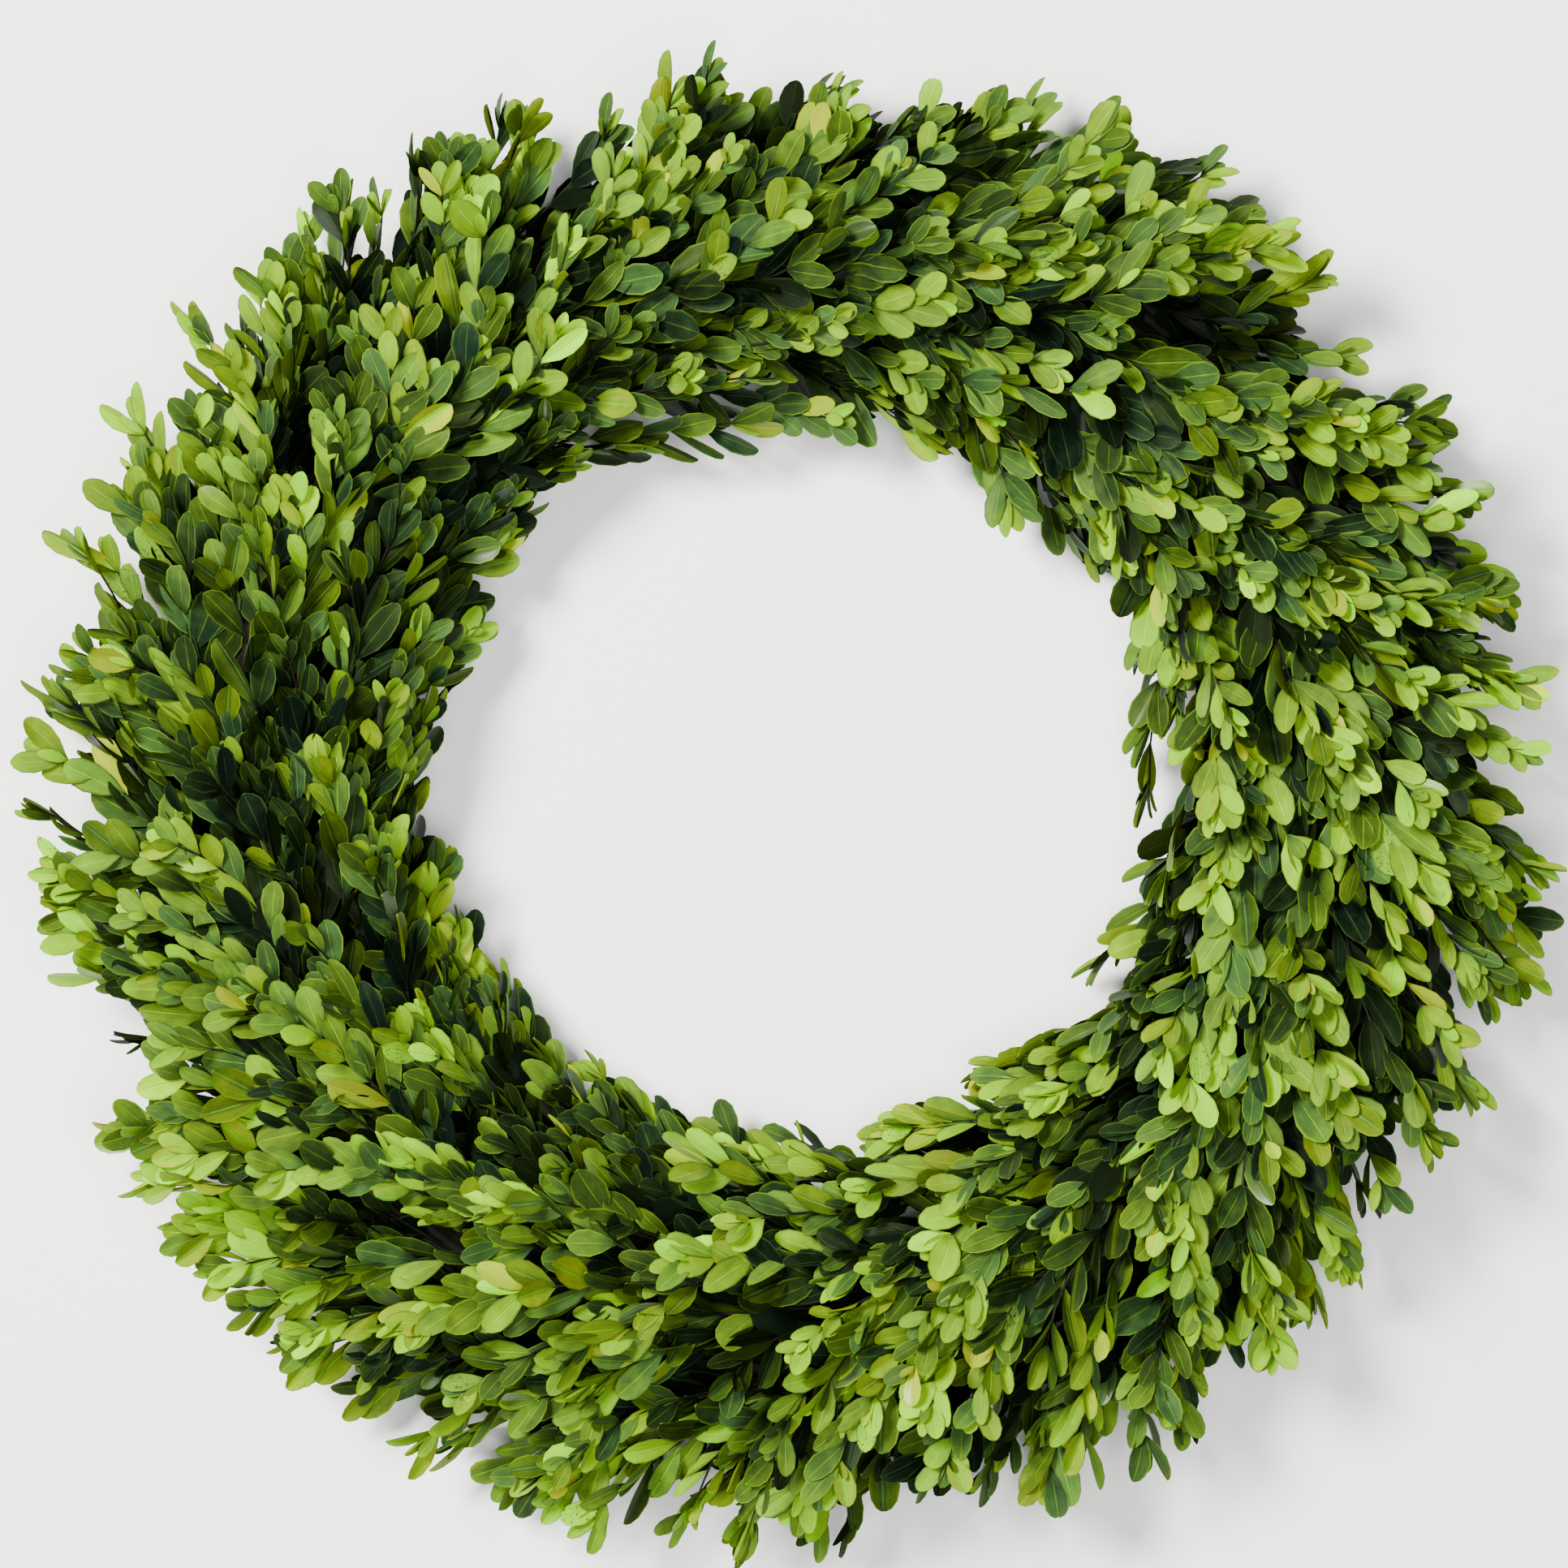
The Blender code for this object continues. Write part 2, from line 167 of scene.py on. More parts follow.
class Graph:
    """A material's nodes, with the methods that add them."""

    def __init__(self, name: str) -> None:
        """Makes the material and finds its shader.

        Args:
            name: the material's name.
        """
        self.material = bpy.data.materials.new(name)
        self.material.use_nodes = True
        self.tree = self.material.node_tree
        self.shader = self.tree.nodes["Principled BSDF"]

    def node(
        self, kind: str, settings: dict[str, object], inputs: dict[str | int, object], output: str | int
    ) -> Value:
        """Adds one node.

        Args:
            kind: the node's type.
            settings: its properties, which are set first. "stops" are a colour ramp's stops.
            inputs: values or links for its sockets.
            output: the socket that is wanted.

        Returns:
            That output, wrapped.
        """
        node = self.tree.nodes.new(kind)
        for key, value in settings.items():
            if key == "stops":
                self.set_stops(node.color_ramp, value)
            else:
                setattr(node, key, value)
        for key, value in inputs.items():
            self.set_input(node, key, value)
        return Value(self, node.outputs[output])

    def set_input(self, node: bpy.types.Node, key: str | int, value: object) -> None:
        """Links a value to a socket, or sets the socket to a plain number or colour.

        Args:
            node: the node.
            key: the socket's name or place.
            value: the value, number or colour.
        """
        if isinstance(value, Value):
            self.tree.links.new(value.socket, node.inputs[key])
        else:
            node.inputs[key].default_value = (*value, 1) if isinstance(value, tuple) else value

    def shade(self, inputs: dict[str, object]) -> None:
        """Sets some of the shader's sockets."""
        for key, value in inputs.items():
            self.set_input(self.shader, key, value)

    @staticmethod
    def set_stops(ramp: bpy.types.ColorRamp, stops: Stops) -> None:
        """Gives a colour ramp its stops.

        Args:
            ramp: the colour ramp.
            stops: a place and a colour each.
        """
        while len(ramp.elements) < len(stops):
            ramp.elements.new(1.0)
        for element, (place, colour) in zip(ramp.elements, stops):
            element.position = place
            element.color = (*colour, 1)

    def math(self, operation: str, *values: Value | float) -> Value:
        """Adds a Math node."""
        return self.node("ShaderNodeMath", {"operation": operation}, dict(enumerate(values)), 0)

    def mix(self, share: Value | float, one: Value | Colour, other: Value | Colour) -> Value:
        """Mixes two colours: one where share is 0, the other where it is 1."""
        return self.node("ShaderNodeMix", {"data_type": "RGBA"}, {0: share, 6: one, 7: other}, 2)

    def colours(self, value: Value, stops: Stops) -> Value:
        """Turns a value into a colour."""
        return self.node("ShaderNodeValToRGB", {"stops": stops}, {"Fac": value}, "Color")

    def noise(self, coordinates: Value, scale: float, detail: float = 2.0) -> Value:
        """Adds a noise from 0 to 1."""
        inputs = {"Vector": coordinates, "Scale": scale, "Detail": detail}
        return self.node("ShaderNodeTexNoise", {}, inputs, 0)

    def place(self) -> Value:
        """Gives the object's own coordinates."""
        return self.node("ShaderNodeTexCoord", {}, {}, "Object")

    def parts(self, vector: Value) -> tuple[Value, Value, Value]:
        """Splits a vector or colour into three numbers."""
        split = self.node("ShaderNodeSeparateXYZ", {}, {0: vector}, 0).socket.node
        return tuple(Value(self, socket) for socket in split.outputs)

    def attribute(self, name: str) -> tuple[Value, Value, Value]:
        """Reads three numbers that the mesh carries at each point."""
        return self.parts(self.node("ShaderNodeAttribute", {"attribute_name": name}, {}, "Vector"))

    def bump(self, height: Value, distance: float) -> None:
        """Feeds the shader's normal from a height."""
        inputs = {"Height": height, "Distance": distance}
        self.set_input(self.shader, "Normal", self.node("ShaderNodeBump", {}, inputs, "Normal"))


@dataclass(frozen=True)
class LeafMap:
    """What a leaf's material knows at a point: its place on the blade, the leaf's numbers, the patterns."""

    along: Value
    across: Value
    tone: Value
    own: Value
    fault: Value
    place: Value
    streaks: Value
    patches: Value
    rib: Value
    veins: Value


@dataclass(frozen=True)
class LeafFinish:
    """A leaf's finish. Its colour follows a tone from dark to light, which each leaf carries.

    Spreads and what is lighter or darker are parts of that tone. A span is where a mark starts and where it
    is full, on a scale from 0 to 1 across the blade, along it, of the tone, or of the leaf's fault number.
    """

    name: str
    stops: Stops
    rib_share: float
    rim_share: float
    roughness: float
    gloss: float
    coat: float
    own_spread: float = 0.16
    patch_spread: float = 0.30
    patch_scale: float = 130.0
    streak_spread: float = 0.16
    streaks_across: float = 16.0
    streaks_along: float = 2.5
    streaks_apart: float = 50.0
    # Painted shade along the blade: lighter towards the tip, darker at the foot, where the next leaf covers
    # it.
    middle: float = 0.62
    painted_light_to_tip: float = 0.16
    foot: Span = (0.0, 0.32)
    painted_foot_shade: float = 0.14
    line_lighter: float = 0.26
    rib_edge: Span = (0.015, 0.085)
    rib_fade: float = 0.45
    vein_pairs: float = 7.0
    vein_slant: float = 2.2
    vein_edge: Span = (0.0, 0.14)
    vein_side: Span = (0.0, 0.25)
    vein_share: float = 0.05
    rim_side: Span = (0.82, 0.97)
    rim_tip: Span = (0.95, 0.99)
    # Painted shadow: bright leaves get a darker rim, as if the gap behind them were shaded.
    bright: Span = (0.38, 0.60)
    painted_rim_shadow: float = 0.50
    warm_hue: Colour = (1.12, 1.0, 0.6)
    cool_hue: Colour = (0.90, 1.0, 1.7)
    yellow_colour: Colour = (0.25, 0.29, 0.01)
    yellow_share: float = 0.7
    yellow_fault: Span = (0.018, 0.034)
    yellow_tone: Span = (0.42, 0.62)
    blotch_colour: Colour = (0.05, 0.03, 0.008)
    spot_scale: float = 900.0
    spot_edge: Span = (0.60, 0.66)
    spot_fault: Span = (0.972, 0.976)
    spot_tone: Span = (0.36, 0.50)
    spot_share: float = 0.85
    brown_tip: Span = (0.86, 0.99)
    brown_from: Span = (0.925, 0.93)
    brown_to: Span = (0.955, 0.96)
    brown_share: float = 0.9
    patch_rough: float = 0.25
    own_rough: float = 0.22
    coated: Span = (0.86, 0.96)
    coat_roughness: float = 0.22
    gloss_tint: Colour = (0.75, 0.90, 0.45)
    streak_height: float = 0.35
    patch_height: float = 0.4
    rib_depth: float = 0.9
    vein_depth: float = 1.6
    relief: float = 0.25 * MM

    def make(self) -> bpy.types.Material:
        """Makes the material.

        Returns:
            The material.
        """
        graph = Graph(self.name)
        leaf = self.read(graph)
        rough = (leaf.patches - 0.5) * self.patch_rough + (leaf.own - 0.5) * self.own_rough
        graph.shade({
            "Base Color": self.marked(graph, leaf, self.green(graph, leaf)),
            "Roughness": rough + self.roughness,
            "Coat Weight": leaf.own.ramp(*self.coated) * self.coat,
            "Coat Roughness": self.coat_roughness,
            "Specular IOR Level": self.gloss,
            "Specular Tint": self.gloss_tint,
        })
        raised = leaf.streaks * self.streak_height + leaf.patches * self.patch_height
        graph.bump(raised - leaf.rib * self.rib_depth - leaf.veins * self.vein_depth, self.relief)
        return graph.material

    def read(self, graph: Graph) -> LeafMap:
        """Reads a leaf's map and numbers, and draws its patterns.

        Args:
            graph: the material's nodes.

        Returns:
            The leaf's values at each point.
        """
        u, along, _ = graph.parts(graph.node("ShaderNodeUVMap", {"uv_map": "UVMap"}, {}, "UV"))
        tone, own, fault = graph.attribute("leaf")
        place = graph.place()
        across = abs(u - 0.5) * 2
        side = graph.math("PINGPONG", along * self.vein_pairs - across * self.vein_slant, 0.5)
        drawn_out = {0: u * self.streaks_across, 1: along * self.streaks_along, 2: own * self.streaks_apart}
        return LeafMap(
            along=along,
            across=across,
            tone=tone,
            own=own,
            fault=fault,
            place=place,
            streaks=graph.noise(graph.node("ShaderNodeCombineXYZ", {}, drawn_out, 0), scale=1.0),
            patches=graph.noise(place, self.patch_scale, detail=3.0),
            rib=(1 - across.ramp(*self.rib_edge)) * (1 - along * self.rib_fade),
            veins=(1 - side.ramp(*self.vein_edge)) * across.ramp(*self.vein_side) * self.vein_share,
        )

    def green(self, graph: Graph, leaf: LeafMap) -> Value:
        """Gives the blade's colour, with its lighter rib and veins, its rim, and painted shade at its foot
        and rim.

        Args:
            graph: the material's nodes.
            leaf: the leaf's values at each point.

        Returns:
            The colour.
        """
        tone = leaf.tone + (leaf.own - 0.5) * self.own_spread + (leaf.patches - 0.5) * self.patch_spread
        tone = tone + (leaf.streaks - 0.5) * self.streak_spread
        # Painted shade: lighter towards the tip, darker towards the foot.
        tone = tone + (leaf.along - self.middle) * self.painted_light_to_tip
        tone = tone - (1 - leaf.along.ramp(*self.foot)) * self.painted_foot_shade
        lighter = graph.colours(tone + self.line_lighter, self.stops)
        # The rim is pale on dark leaves and carries a painted shadow on bright ones.
        rim_tone_with_shadow = tone + self.line_lighter - leaf.tone.ramp(*self.bright) * self.painted_rim_shadow
        rim = graph.math("MAXIMUM", leaf.across.ramp(*self.rim_side), leaf.along.ramp(*self.rim_tip))
        lines = graph.math("MAXIMUM", leaf.rib * self.rib_share, leaf.veins)
        colour = graph.mix(lines, graph.colours(tone, self.stops), lighter)
        return graph.mix(rim * self.rim_share, colour, graph.colours(rim_tone_with_shadow, self.stops))

    def marked(self, graph: Graph, leaf: LeafMap, colour: Value) -> Value:
        """Turns the hue of each leaf a little, and yellows, browns or spots a few.

        Args:
            graph: the material's nodes.
            leaf: the leaf's values at each point.
            colour: the green blade's colour.

        Returns:
            The colour with its marks.
        """
        hue = graph.mix(leaf.fault, self.warm_hue, self.cool_hue)
        colour = graph.node("ShaderNodeVectorMath", {"operation": "MULTIPLY"}, {0: colour, 1: hue}, "Vector")
        yellowed = (1 - leaf.fault.ramp(*self.yellow_fault)) * leaf.tone.ramp(*self.yellow_tone)
        colour = graph.mix(yellowed * self.yellow_share, colour, self.yellow_colour)
        spots = graph.noise(leaf.place, self.spot_scale).ramp(*self.spot_edge)
        spots = spots * leaf.fault.ramp(*self.spot_fault) * leaf.tone.ramp(*self.spot_tone) * self.spot_share
        browned = leaf.along.ramp(*self.brown_tip) * leaf.fault.ramp(*self.brown_from)
        browned = browned * (1 - leaf.fault.ramp(*self.brown_to)) * self.brown_share
        return graph.mix(graph.math("MAXIMUM", spots, browned), colour, self.blotch_colour)


@dataclass(frozen=True)
class StemFinish:
    """The stems' finish: dark brown bark, greener on some."""

    name: str = "boxwood_stem"
    dark: Colour = (0.0022, 0.0024, 0.0012)
    bark: Colour = (0.0075, 0.0072, 0.0030)
    bark_scale: float = 300.0
    bark_edge: Span = (0.35, 0.70)
    green: Colour = (0.013, 0.022, 0.004)
    green_scale: float = 60.0
    green_edge: Span = (0.45, 0.65)
    green_tone: Span = (0.35, 0.9)
    green_share: float = 0.8
    smoothest: float = 0.50
    own_rough: float = 0.25
    gloss: float = 0.12
    grain_scale: float = 1500.0
    relief: float = 0.15 * MM

    def make(self) -> bpy.types.Material:
        """Makes the material.

        Returns:
            The material.
        """
        graph = Graph(self.name)
        place = graph.place()
        tone, own, _ = graph.attribute("leaf")
        ridges = graph.noise(place, self.bark_scale, detail=4.0).ramp(*self.bark_edge)
        bark = graph.mix(ridges, self.dark, self.bark)
        green = tone.ramp(*self.green_tone) * graph.noise(place, self.green_scale).ramp(*self.green_edge)
        graph.shade({
            "Base Color": graph.mix(green * self.green_share, bark, self.green),
            "Roughness": self.smoothest + own * self.own_rough,
            "Specular IOR Level": self.gloss,
        })
        graph.bump(graph.noise(place, self.grain_scale, detail=3.0), self.relief)
        return graph.material


@dataclass(frozen=True)
class WireFinish:
    """A lacquered steel wire, with bare specks where the lacquer has worn."""

    name: str
    lacquer: Colour
    steel: Colour = (0.22, 0.21, 0.19)
    wear: Span = (0.66, 0.71)
    wear_scale: float = 420.0
    shade: Span = (0.3, 0.7)
    shade_scale: float = 60.0
    shaded: float = 0.6
    metal: float = 0.9
    smoothest: float = 0.34
    worn_rough: float = 0.2
    shade_rough: float = 0.1
    grain_scale: float = 900.0
    relief: float = 0.05 * MM

    def make(self) -> bpy.types.Material:
        """Makes the material.

        Returns:
            The material.
        """
        graph = Graph(self.name)
        place = graph.place()
        worn = graph.noise(place, self.wear_scale, detail=4.0).ramp(*self.wear)
        shade = graph.noise(place, self.shade_scale).ramp(*self.shade)
        darker = tuple(self.shaded * part for part in self.lacquer)
        graph.shade({
            "Base Color": graph.mix(worn, graph.mix(shade, self.lacquer, darker), self.steel),
            "Metallic": worn * self.metal,
            "Roughness": self.smoothest + worn * self.worn_rough + shade * self.shade_rough,
        })
        graph.bump(graph.noise(place, self.grain_scale), self.relief)
        return graph.material


@dataclass(frozen=True)
class FloorFinish:
    """The pale, matt floor of the studio."""

    name: str = "pale_floor"
    colour: Colour = (0.92, 0.92, 0.91)
    roughness: float = 0.9
    gloss: float = 0.1

    def make(self) -> bpy.types.Material:
        """Makes the material.

        Returns:
            The material.
        """
        graph = Graph(self.name)
        graph.shade({"Base Color": self.colour})
        graph.shade({"Roughness": self.roughness, "Specular IOR Level": self.gloss})
        return graph.material


LEAF_STOPS = (
    (0.00, (0.0020, 0.0045, 0.0016)),
    (0.20, (0.0078, 0.0180, 0.0044)),
    (0.42, (0.0320, 0.0680, 0.0100)),
    (0.62, (0.0950, 0.1800, 0.0066)),
    (0.82, (0.1530, 0.3450, 0.0006)),
    (1.00, (0.2150, 0.5200, 0.0004)),
)
UNDER_STOPS = (
    (0.00, (0.006, 0.011, 0.002)),
    (0.25, (0.022, 0.044, 0.004)),
    (0.50, (0.075, 0.130, 0.005)),
    (0.75, (0.180, 0.270, 0.007)),
    (1.00, (0.340, 0.420, 0.012)),
)
LEAF_TOP = LeafFinish(
    "boxwood_leaf_top", LEAF_STOPS, rib_share=0.8, rim_share=0.7, roughness=0.46, gloss=0.05, coat=0.15
)
LEAF_UNDER = LeafFinish(
    "boxwood_leaf_under", UNDER_STOPS, rib_share=0.35, rim_share=0.4, roughness=0.65, gloss=0.02, coat=0.0
)


class Bench:
    """Modelling by hand: what is picked, and what is done with it."""

    @staticmethod
    def select(*objects: bpy.types.Object) -> None:
        """Selects some objects and no others, and makes the first one active.

        Args:
            objects: the objects.
        """
        bpy.ops.object.select_all(action="DESELECT")
        for obj in objects:
            obj.select_set(True)
        bpy.context.view_layer.objects.active = objects[0]

    @staticmethod
    def join(*objects: bpy.types.Object) -> bpy.types.Object:
        """Joins some objects into the first one.

        Args:
            objects: the objects.

        Returns:
            The joined object.
        """
        Bench.select(*objects)
        bpy.ops.object.join()
        return bpy.context.object

    @staticmethod
    def edit(obj: bpy.types.Object, action: str = "DESELECT") -> None:
        """Opens one object in edit mode.

        Args:
            obj: the object.
            action: SELECT for all of it picked, DESELECT for nothing picked.
        """
        Bench.select(obj)
        bpy.ops.object.mode_set(mode="EDIT")
        bpy.ops.mesh.select_all(action=action)

    @staticmethod
    def done() -> None:
        """Closes edit mode."""
        bpy.ops.object.mode_set(mode="OBJECT")

    @staticmethod
    def smooth(degrees: float) -> None:
        """Smooths the selected object, apart from its edges that are sharper than an angle."""
        bpy.ops.object.shade_smooth_by_angle(angle=math.radians(degrees))

    @staticmethod
    def move(x: float, y: float, z: float) -> None:
        """Moves what is picked."""
        bpy.ops.transform.translate(value=(x, y, z))

    @staticmethod
    def pick(obj: bpy.types.Object, test: Callable[..., bool], edges: bool = False) -> None:
        """Picks the points or the edges of the edited mesh that pass a test.

        Args:
            obj: the edited object.
            test: whether a point at a place is picked, or an edge between two places.
            edges: whether edges are picked.
        """
        bpy.context.tool_settings.mesh_select_mode = (not edges, edges, False)
        mesh = bmesh.from_edit_mesh(obj.data)
        mesh.select_mode = {"EDGE" if edges else "VERT"}
        for vert in mesh.verts:
            vert.select_set(False)
        for item in mesh.edges if edges else mesh.verts:
            item.select = test(*(vert.co for vert in item.verts)) if edges else test(item.co)
        mesh.select_flush_mode()
        bmesh.update_edit_mesh(obj.data)


@dataclass(frozen=True)
class Pattern:
    """A modelled shape as arrays, ready to be copied."""

    points: np.ndarray
    edges: np.ndarray
    sharp: np.ndarray
    corner_points: np.ndarray
    corner_edges: np.ndarray
    starts: np.ndarray
    finishes: np.ndarray
    uv: np.ndarray

    @classmethod
    def of(cls, obj: bpy.types.Object) -> "Pattern":
        """Reads a modelled object, and removes it.

        Args:
            obj: the object.

        Returns:
            Its pattern.
        """
        mesh = obj.data
        sharp = mesh.attributes.get("sharp_edge")
        pattern = cls(
            points=cls.read(mesh.vertices, "co", np.float32, 3).astype(float),
            edges=cls.read(mesh.edges, "vertices", np.int32, 2),
            sharp=cls.read(sharp.data, "value", bool) if sharp else np.zeros(len(mesh.edges), bool),
            corner_points=cls.read(mesh.loops, "vertex_index", np.int32),
            corner_edges=cls.read(mesh.loops, "edge_index", np.int32),
            starts=cls.read(mesh.polygons, "loop_start", np.int32),
            finishes=cls.read(mesh.polygons, "material_index", np.int32),
            uv=cls.read(mesh.uv_layers[0].data, "uv", np.float32, 2),
        )
        bpy.data.objects.remove(obj)
        return pattern

    @staticmethod
    def read(items: bpy.types.bpy_prop_collection, name: str, kind: type, width: int = 1) -> np.ndarray:
        """Reads one property of many mesh elements.

        Args:
            items: the elements.
            name: the property.
            kind: its type of number.
            width: how many numbers it has.

        Returns:
            The numbers, with a row for each element where it has more than one.
        """
        values = np.empty(len(items) * width, kind)
        items.foreach_get(name, values)
        return values.reshape(-1, width) if width > 1 else values


class Copies:
    """Copies of patterns, gathered into one mesh."""

    def __init__(self) -> None:
        """Starts with none."""
        self.lists: dict[str, list[np.ndarray]] = {}
        self.points = self.edges = self.corners = 0

    def add(
        self, pattern: Pattern, points: np.ndarray, tints: np.ndarray, finish: Finish | None = None
    ) -> None:
        """Adds copies of one pattern.

        Args:
            pattern: the shape.
            points: the copies' points, of shape (copies, points, 3).
            tints: three numbers for each copy, which the materials read.
            finish: the finish of all its faces, or none to keep the pattern's own.
        """
        number = len(points)
        place = np.arange(number)[:, None]
        first_point = self.points + place * len(pattern.points)
        first_edge = self.edges + place * len(pattern.edges)
        first_corner = self.corners + place * len(pattern.corner_points)
        finishes = pattern.finishes if finish is None else np.full_like(pattern.finishes, finish.value)
        rows = {
            "points": points.reshape(-1, 3),
            "edges": pattern.edges[None] + first_point[:, :, None],
            "sharp": np.tile(pattern.sharp, number),
            "corner_points": pattern.corner_points[None] + first_point,
            "corner_edges": pattern.corner_edges[None] + first_edge,
            "starts": pattern.starts[None] + first_corner,
            "finishes": np.tile(finishes, number),
            "uv": np.tile(pattern.uv, (number, 1)),
            "tints": np.repeat(tints, len(pattern.points), axis=0),
        }
        for key, values in rows.items():
            self.lists.setdefault(key, []).append(values.ravel())
        self.points += number * len(pattern.points)
        self.edges += number * len(pattern.edges)
        self.corners += number * len(pattern.corner_points)

    def build(self, name: str, materials: list[bpy.types.Material]) -> bpy.types.Object:
        """Makes the mesh and its object.

        Args:
            name: the object's name.
            materials: its materials, in the order of Finish.

        Returns:
            The object.
        """
        rows = {key: np.concatenate(values) for key, values in self.lists.items()}
        mesh = bpy.data.meshes.new(name)
        mesh.vertices.add(self.points)
        mesh.edges.add(self.edges)
        mesh.loops.add(self.corners)
        mesh.polygons.add(len(rows["starts"]))
        for items, key, row, kind in (
            (mesh.vertices, "co", "points", np.float32),
            (mesh.edges, "vertices", "edges", np.int32),
            (mesh.loops, "vertex_index", "corner_points", np.int32),
            (mesh.loops, "edge_index", "corner_edges", np.int32),
            (mesh.polygons, "loop_start", "starts", np.int32),
            (mesh.polygons, "material_index", "finishes", np.int32),
            (mesh.attributes.new("sharp_edge", "BOOLEAN", "EDGE").data, "value", "sharp", bool),
        ):
            items.foreach_set(key, rows[row].astype(kind))
        mesh.uv_layers.new(name="UVMap").data.foreach_set("uv", rows["uv"])
        tints = np.concatenate([rows["tints"].reshape(-1, 3), np.ones((self.points, 1))], axis=1)
        mesh.attributes.new("leaf", "FLOAT_COLOR", "POINT").data.foreach_set("color", tints.ravel())
        for material in materials:
            mesh.materials.append(material)
        mesh.update()
        mesh.validate()
        obj = bpy.data.objects.new(name, mesh)
        bpy.context.scene.collection.objects.link(obj)
        return obj


# A leaf is modelled one unit long. Its rows are places along it.
LEAF_THICKNESS = 0.020
LEAF_ROWS = (0.00, 0.12, 0.34, 0.60, 0.83, 0.955, 1.00)
UPPER_COLUMNS = 4
LOWER_COLUMNS = 2
SAME_POINT = 1e-4
SAME_ROW = 0.01
SET_ASIDE = 2.0
MOST_SIDES = 6


@dataclass(frozen=True)
class LeafShape:
    """One kind of leaf. Its sizes are shares of its length, at the rows of LEAF_ROWS."""

    name: str
    half_widths: tuple[float, ...]
    fold: float
    curl: float
    bend: float
    notch: float = 0.0
    sway: float = 0.0

    def model(self, top: bpy.types.Material, under: bpy.types.Material) -> Pattern:
        """Models the leaf as a closed thin solid, root at the origin and tip at +Y.

        Args:
            top: the material of its upper face.
            under: the material of its lower face.

        Returns:
            The leaf's pattern.
        """
        upper = self.blade(UPPER_COLUMNS, top)
        lower = self.blade(LOWER_COLUMNS, under)
        Bench.edit(lower)
        Bench.pick(lower, self.is_middle)
        Bench.move(0, 0, -LEAF_THICKNESS)
        Bench.done()
        leaf = Bench.join(upper, lower)
        Bench.edit(leaf, "SELECT")
        bpy.ops.mesh.remove_doubles(threshold=SAME_POINT)
        bpy.ops.mesh.fill_holes(sides=MOST_SIDES)
        bpy.ops.mesh.select_all(action="SELECT")
        bpy.ops.mesh.normals_make_consistent(inside=False)
        Bench.done()
        Bench.smooth(degrees=55)
        pattern = Pattern.of(leaf)
        LOG.info("leaf kind %s: %d faces", self.name, len(pattern.starts))
        return pattern

    def is_middle(self, co: Vector) -> bool:
        """Whether a point of the lower blade is on its midrib."""
        return abs(co.x - self.sway * co.y * co.y) < SAME_POINT

    def blade(self, columns: int, material: bpy.types.Material) -> bpy.types.Object:
        """Models one face of the leaf from a flat grid, column by column and row by row.

        A row that is ready is set aside from the grid, so that it isn't picked with the next one.

        Args:
            columns: the number of faces across it.
            material: its material.

        Returns:
            The face of the leaf.
        """
        rows = len(LEAF_ROWS) - 1
        bpy.ops.mesh.primitive_grid_add(x_subdivisions=columns, y_subdivisions=rows, size=2, calc_uvs=True)
        obj = bpy.context.object
        obj.data.materials.append(material)
        Bench.edit(obj)
        for side, height in ((1.0, self.fold + self.curl), (0.5, self.fold * 0.5)):
            Bench.pick(obj, lambda co: abs(abs(co.x) - side) < SAME_ROW)
            Bench.move(0, 0, height)
        for i in range(rows, -1, -1):
            row = -1 + 2 * i / rows
            Bench.pick(obj, lambda co: abs(co.y - row) < SAME_ROW)
            width, place = self.half_widths[i], LEAF_ROWS[i]
            bpy.ops.transform.resize(value=(width, 1, width), center_override=(0, row, 0))
            Bench.move(self.sway * place * place, SET_ASIDE + place - row, -self.bend * place * place)
        bpy.ops.mesh.select_all(action="SELECT")
        Bench.move(0, -SET_ASIDE, 0)
        if self.notch:
            Bench.pick(obj, lambda co: co.y > 1 - SAME_POINT and self.is_middle(co))
            Bench.move(0, -self.notch, 0)
        Bench.done()
        return obj


LEAF_SHAPES = (
    LeafShape("spoon", (0.018, 0.052, 0.145, 0.212, 0.194, 0.114, 0.036), 0.30, -0.08, 0.12),
    LeafShape("oval", (0.020, 0.080, 0.182, 0.226, 0.186, 0.110, 0.036), 0.22, 0.08, 0.06, sway=0.03),
    LeafShape("heart", (0.018, 0.054, 0.146, 0.216, 0.206, 0.134, 0.054), 0.26, -0.06, 0.10, notch=0.018),
    LeafShape("narrow", (0.016, 0.060, 0.138, 0.168, 0.140, 0.082, 0.027), 0.42, -0.08, 0.16, sway=-0.04),
    LeafShape("cupped", (0.020, 0.070, 0.170, 0.218, 0.182, 0.108, 0.036), 0.18, 0.30, -0.12),
)


@dataclass(frozen=True)
class StemShape:
    """A straight round stem of unit radius along +Z, from 0 to 1, with rings to bend it at."""

    sides: int
    rings: int
    grooves: float = 0.0
    groove_every: int = 3

    def model(self) -> Pattern:
        """Models the stem from a cylinder, cut into rings, with some sides pressed in as grooves.

        Returns:
            The stem's pattern.
        """
        bpy.ops.mesh.primitive_cylinder_add(vertices=self.sides, radius=1, depth=1, location=(0, 0, 0.5))
        obj = bpy.context.object
        bpy.ops.object.transform_apply(location=True)
        Bench.edit(obj)
        Bench.pick(obj, lambda one, other: abs(one.z - other.z) > 0.5, edges=True)
        bpy.ops.mesh.subdivide(number_cuts=self.rings - 2)
        if self.grooves:
            Bench.pick(obj, self.in_groove)
            narrower = 1 - self.grooves
            bpy.ops.transform.resize(value=(narrower, narrower, 1), center_override=(0, 0, 0.5))
        Bench.done()
        Bench.smooth(degrees=60)
        return Pattern.of(obj)

    def in_groove(self, co: Vector) -> bool:
        """Whether a point is on one of the sides that are pressed in."""
        return round(math.atan2(co.y, co.x) / (TAU / self.sides)) % self.groove_every == 0


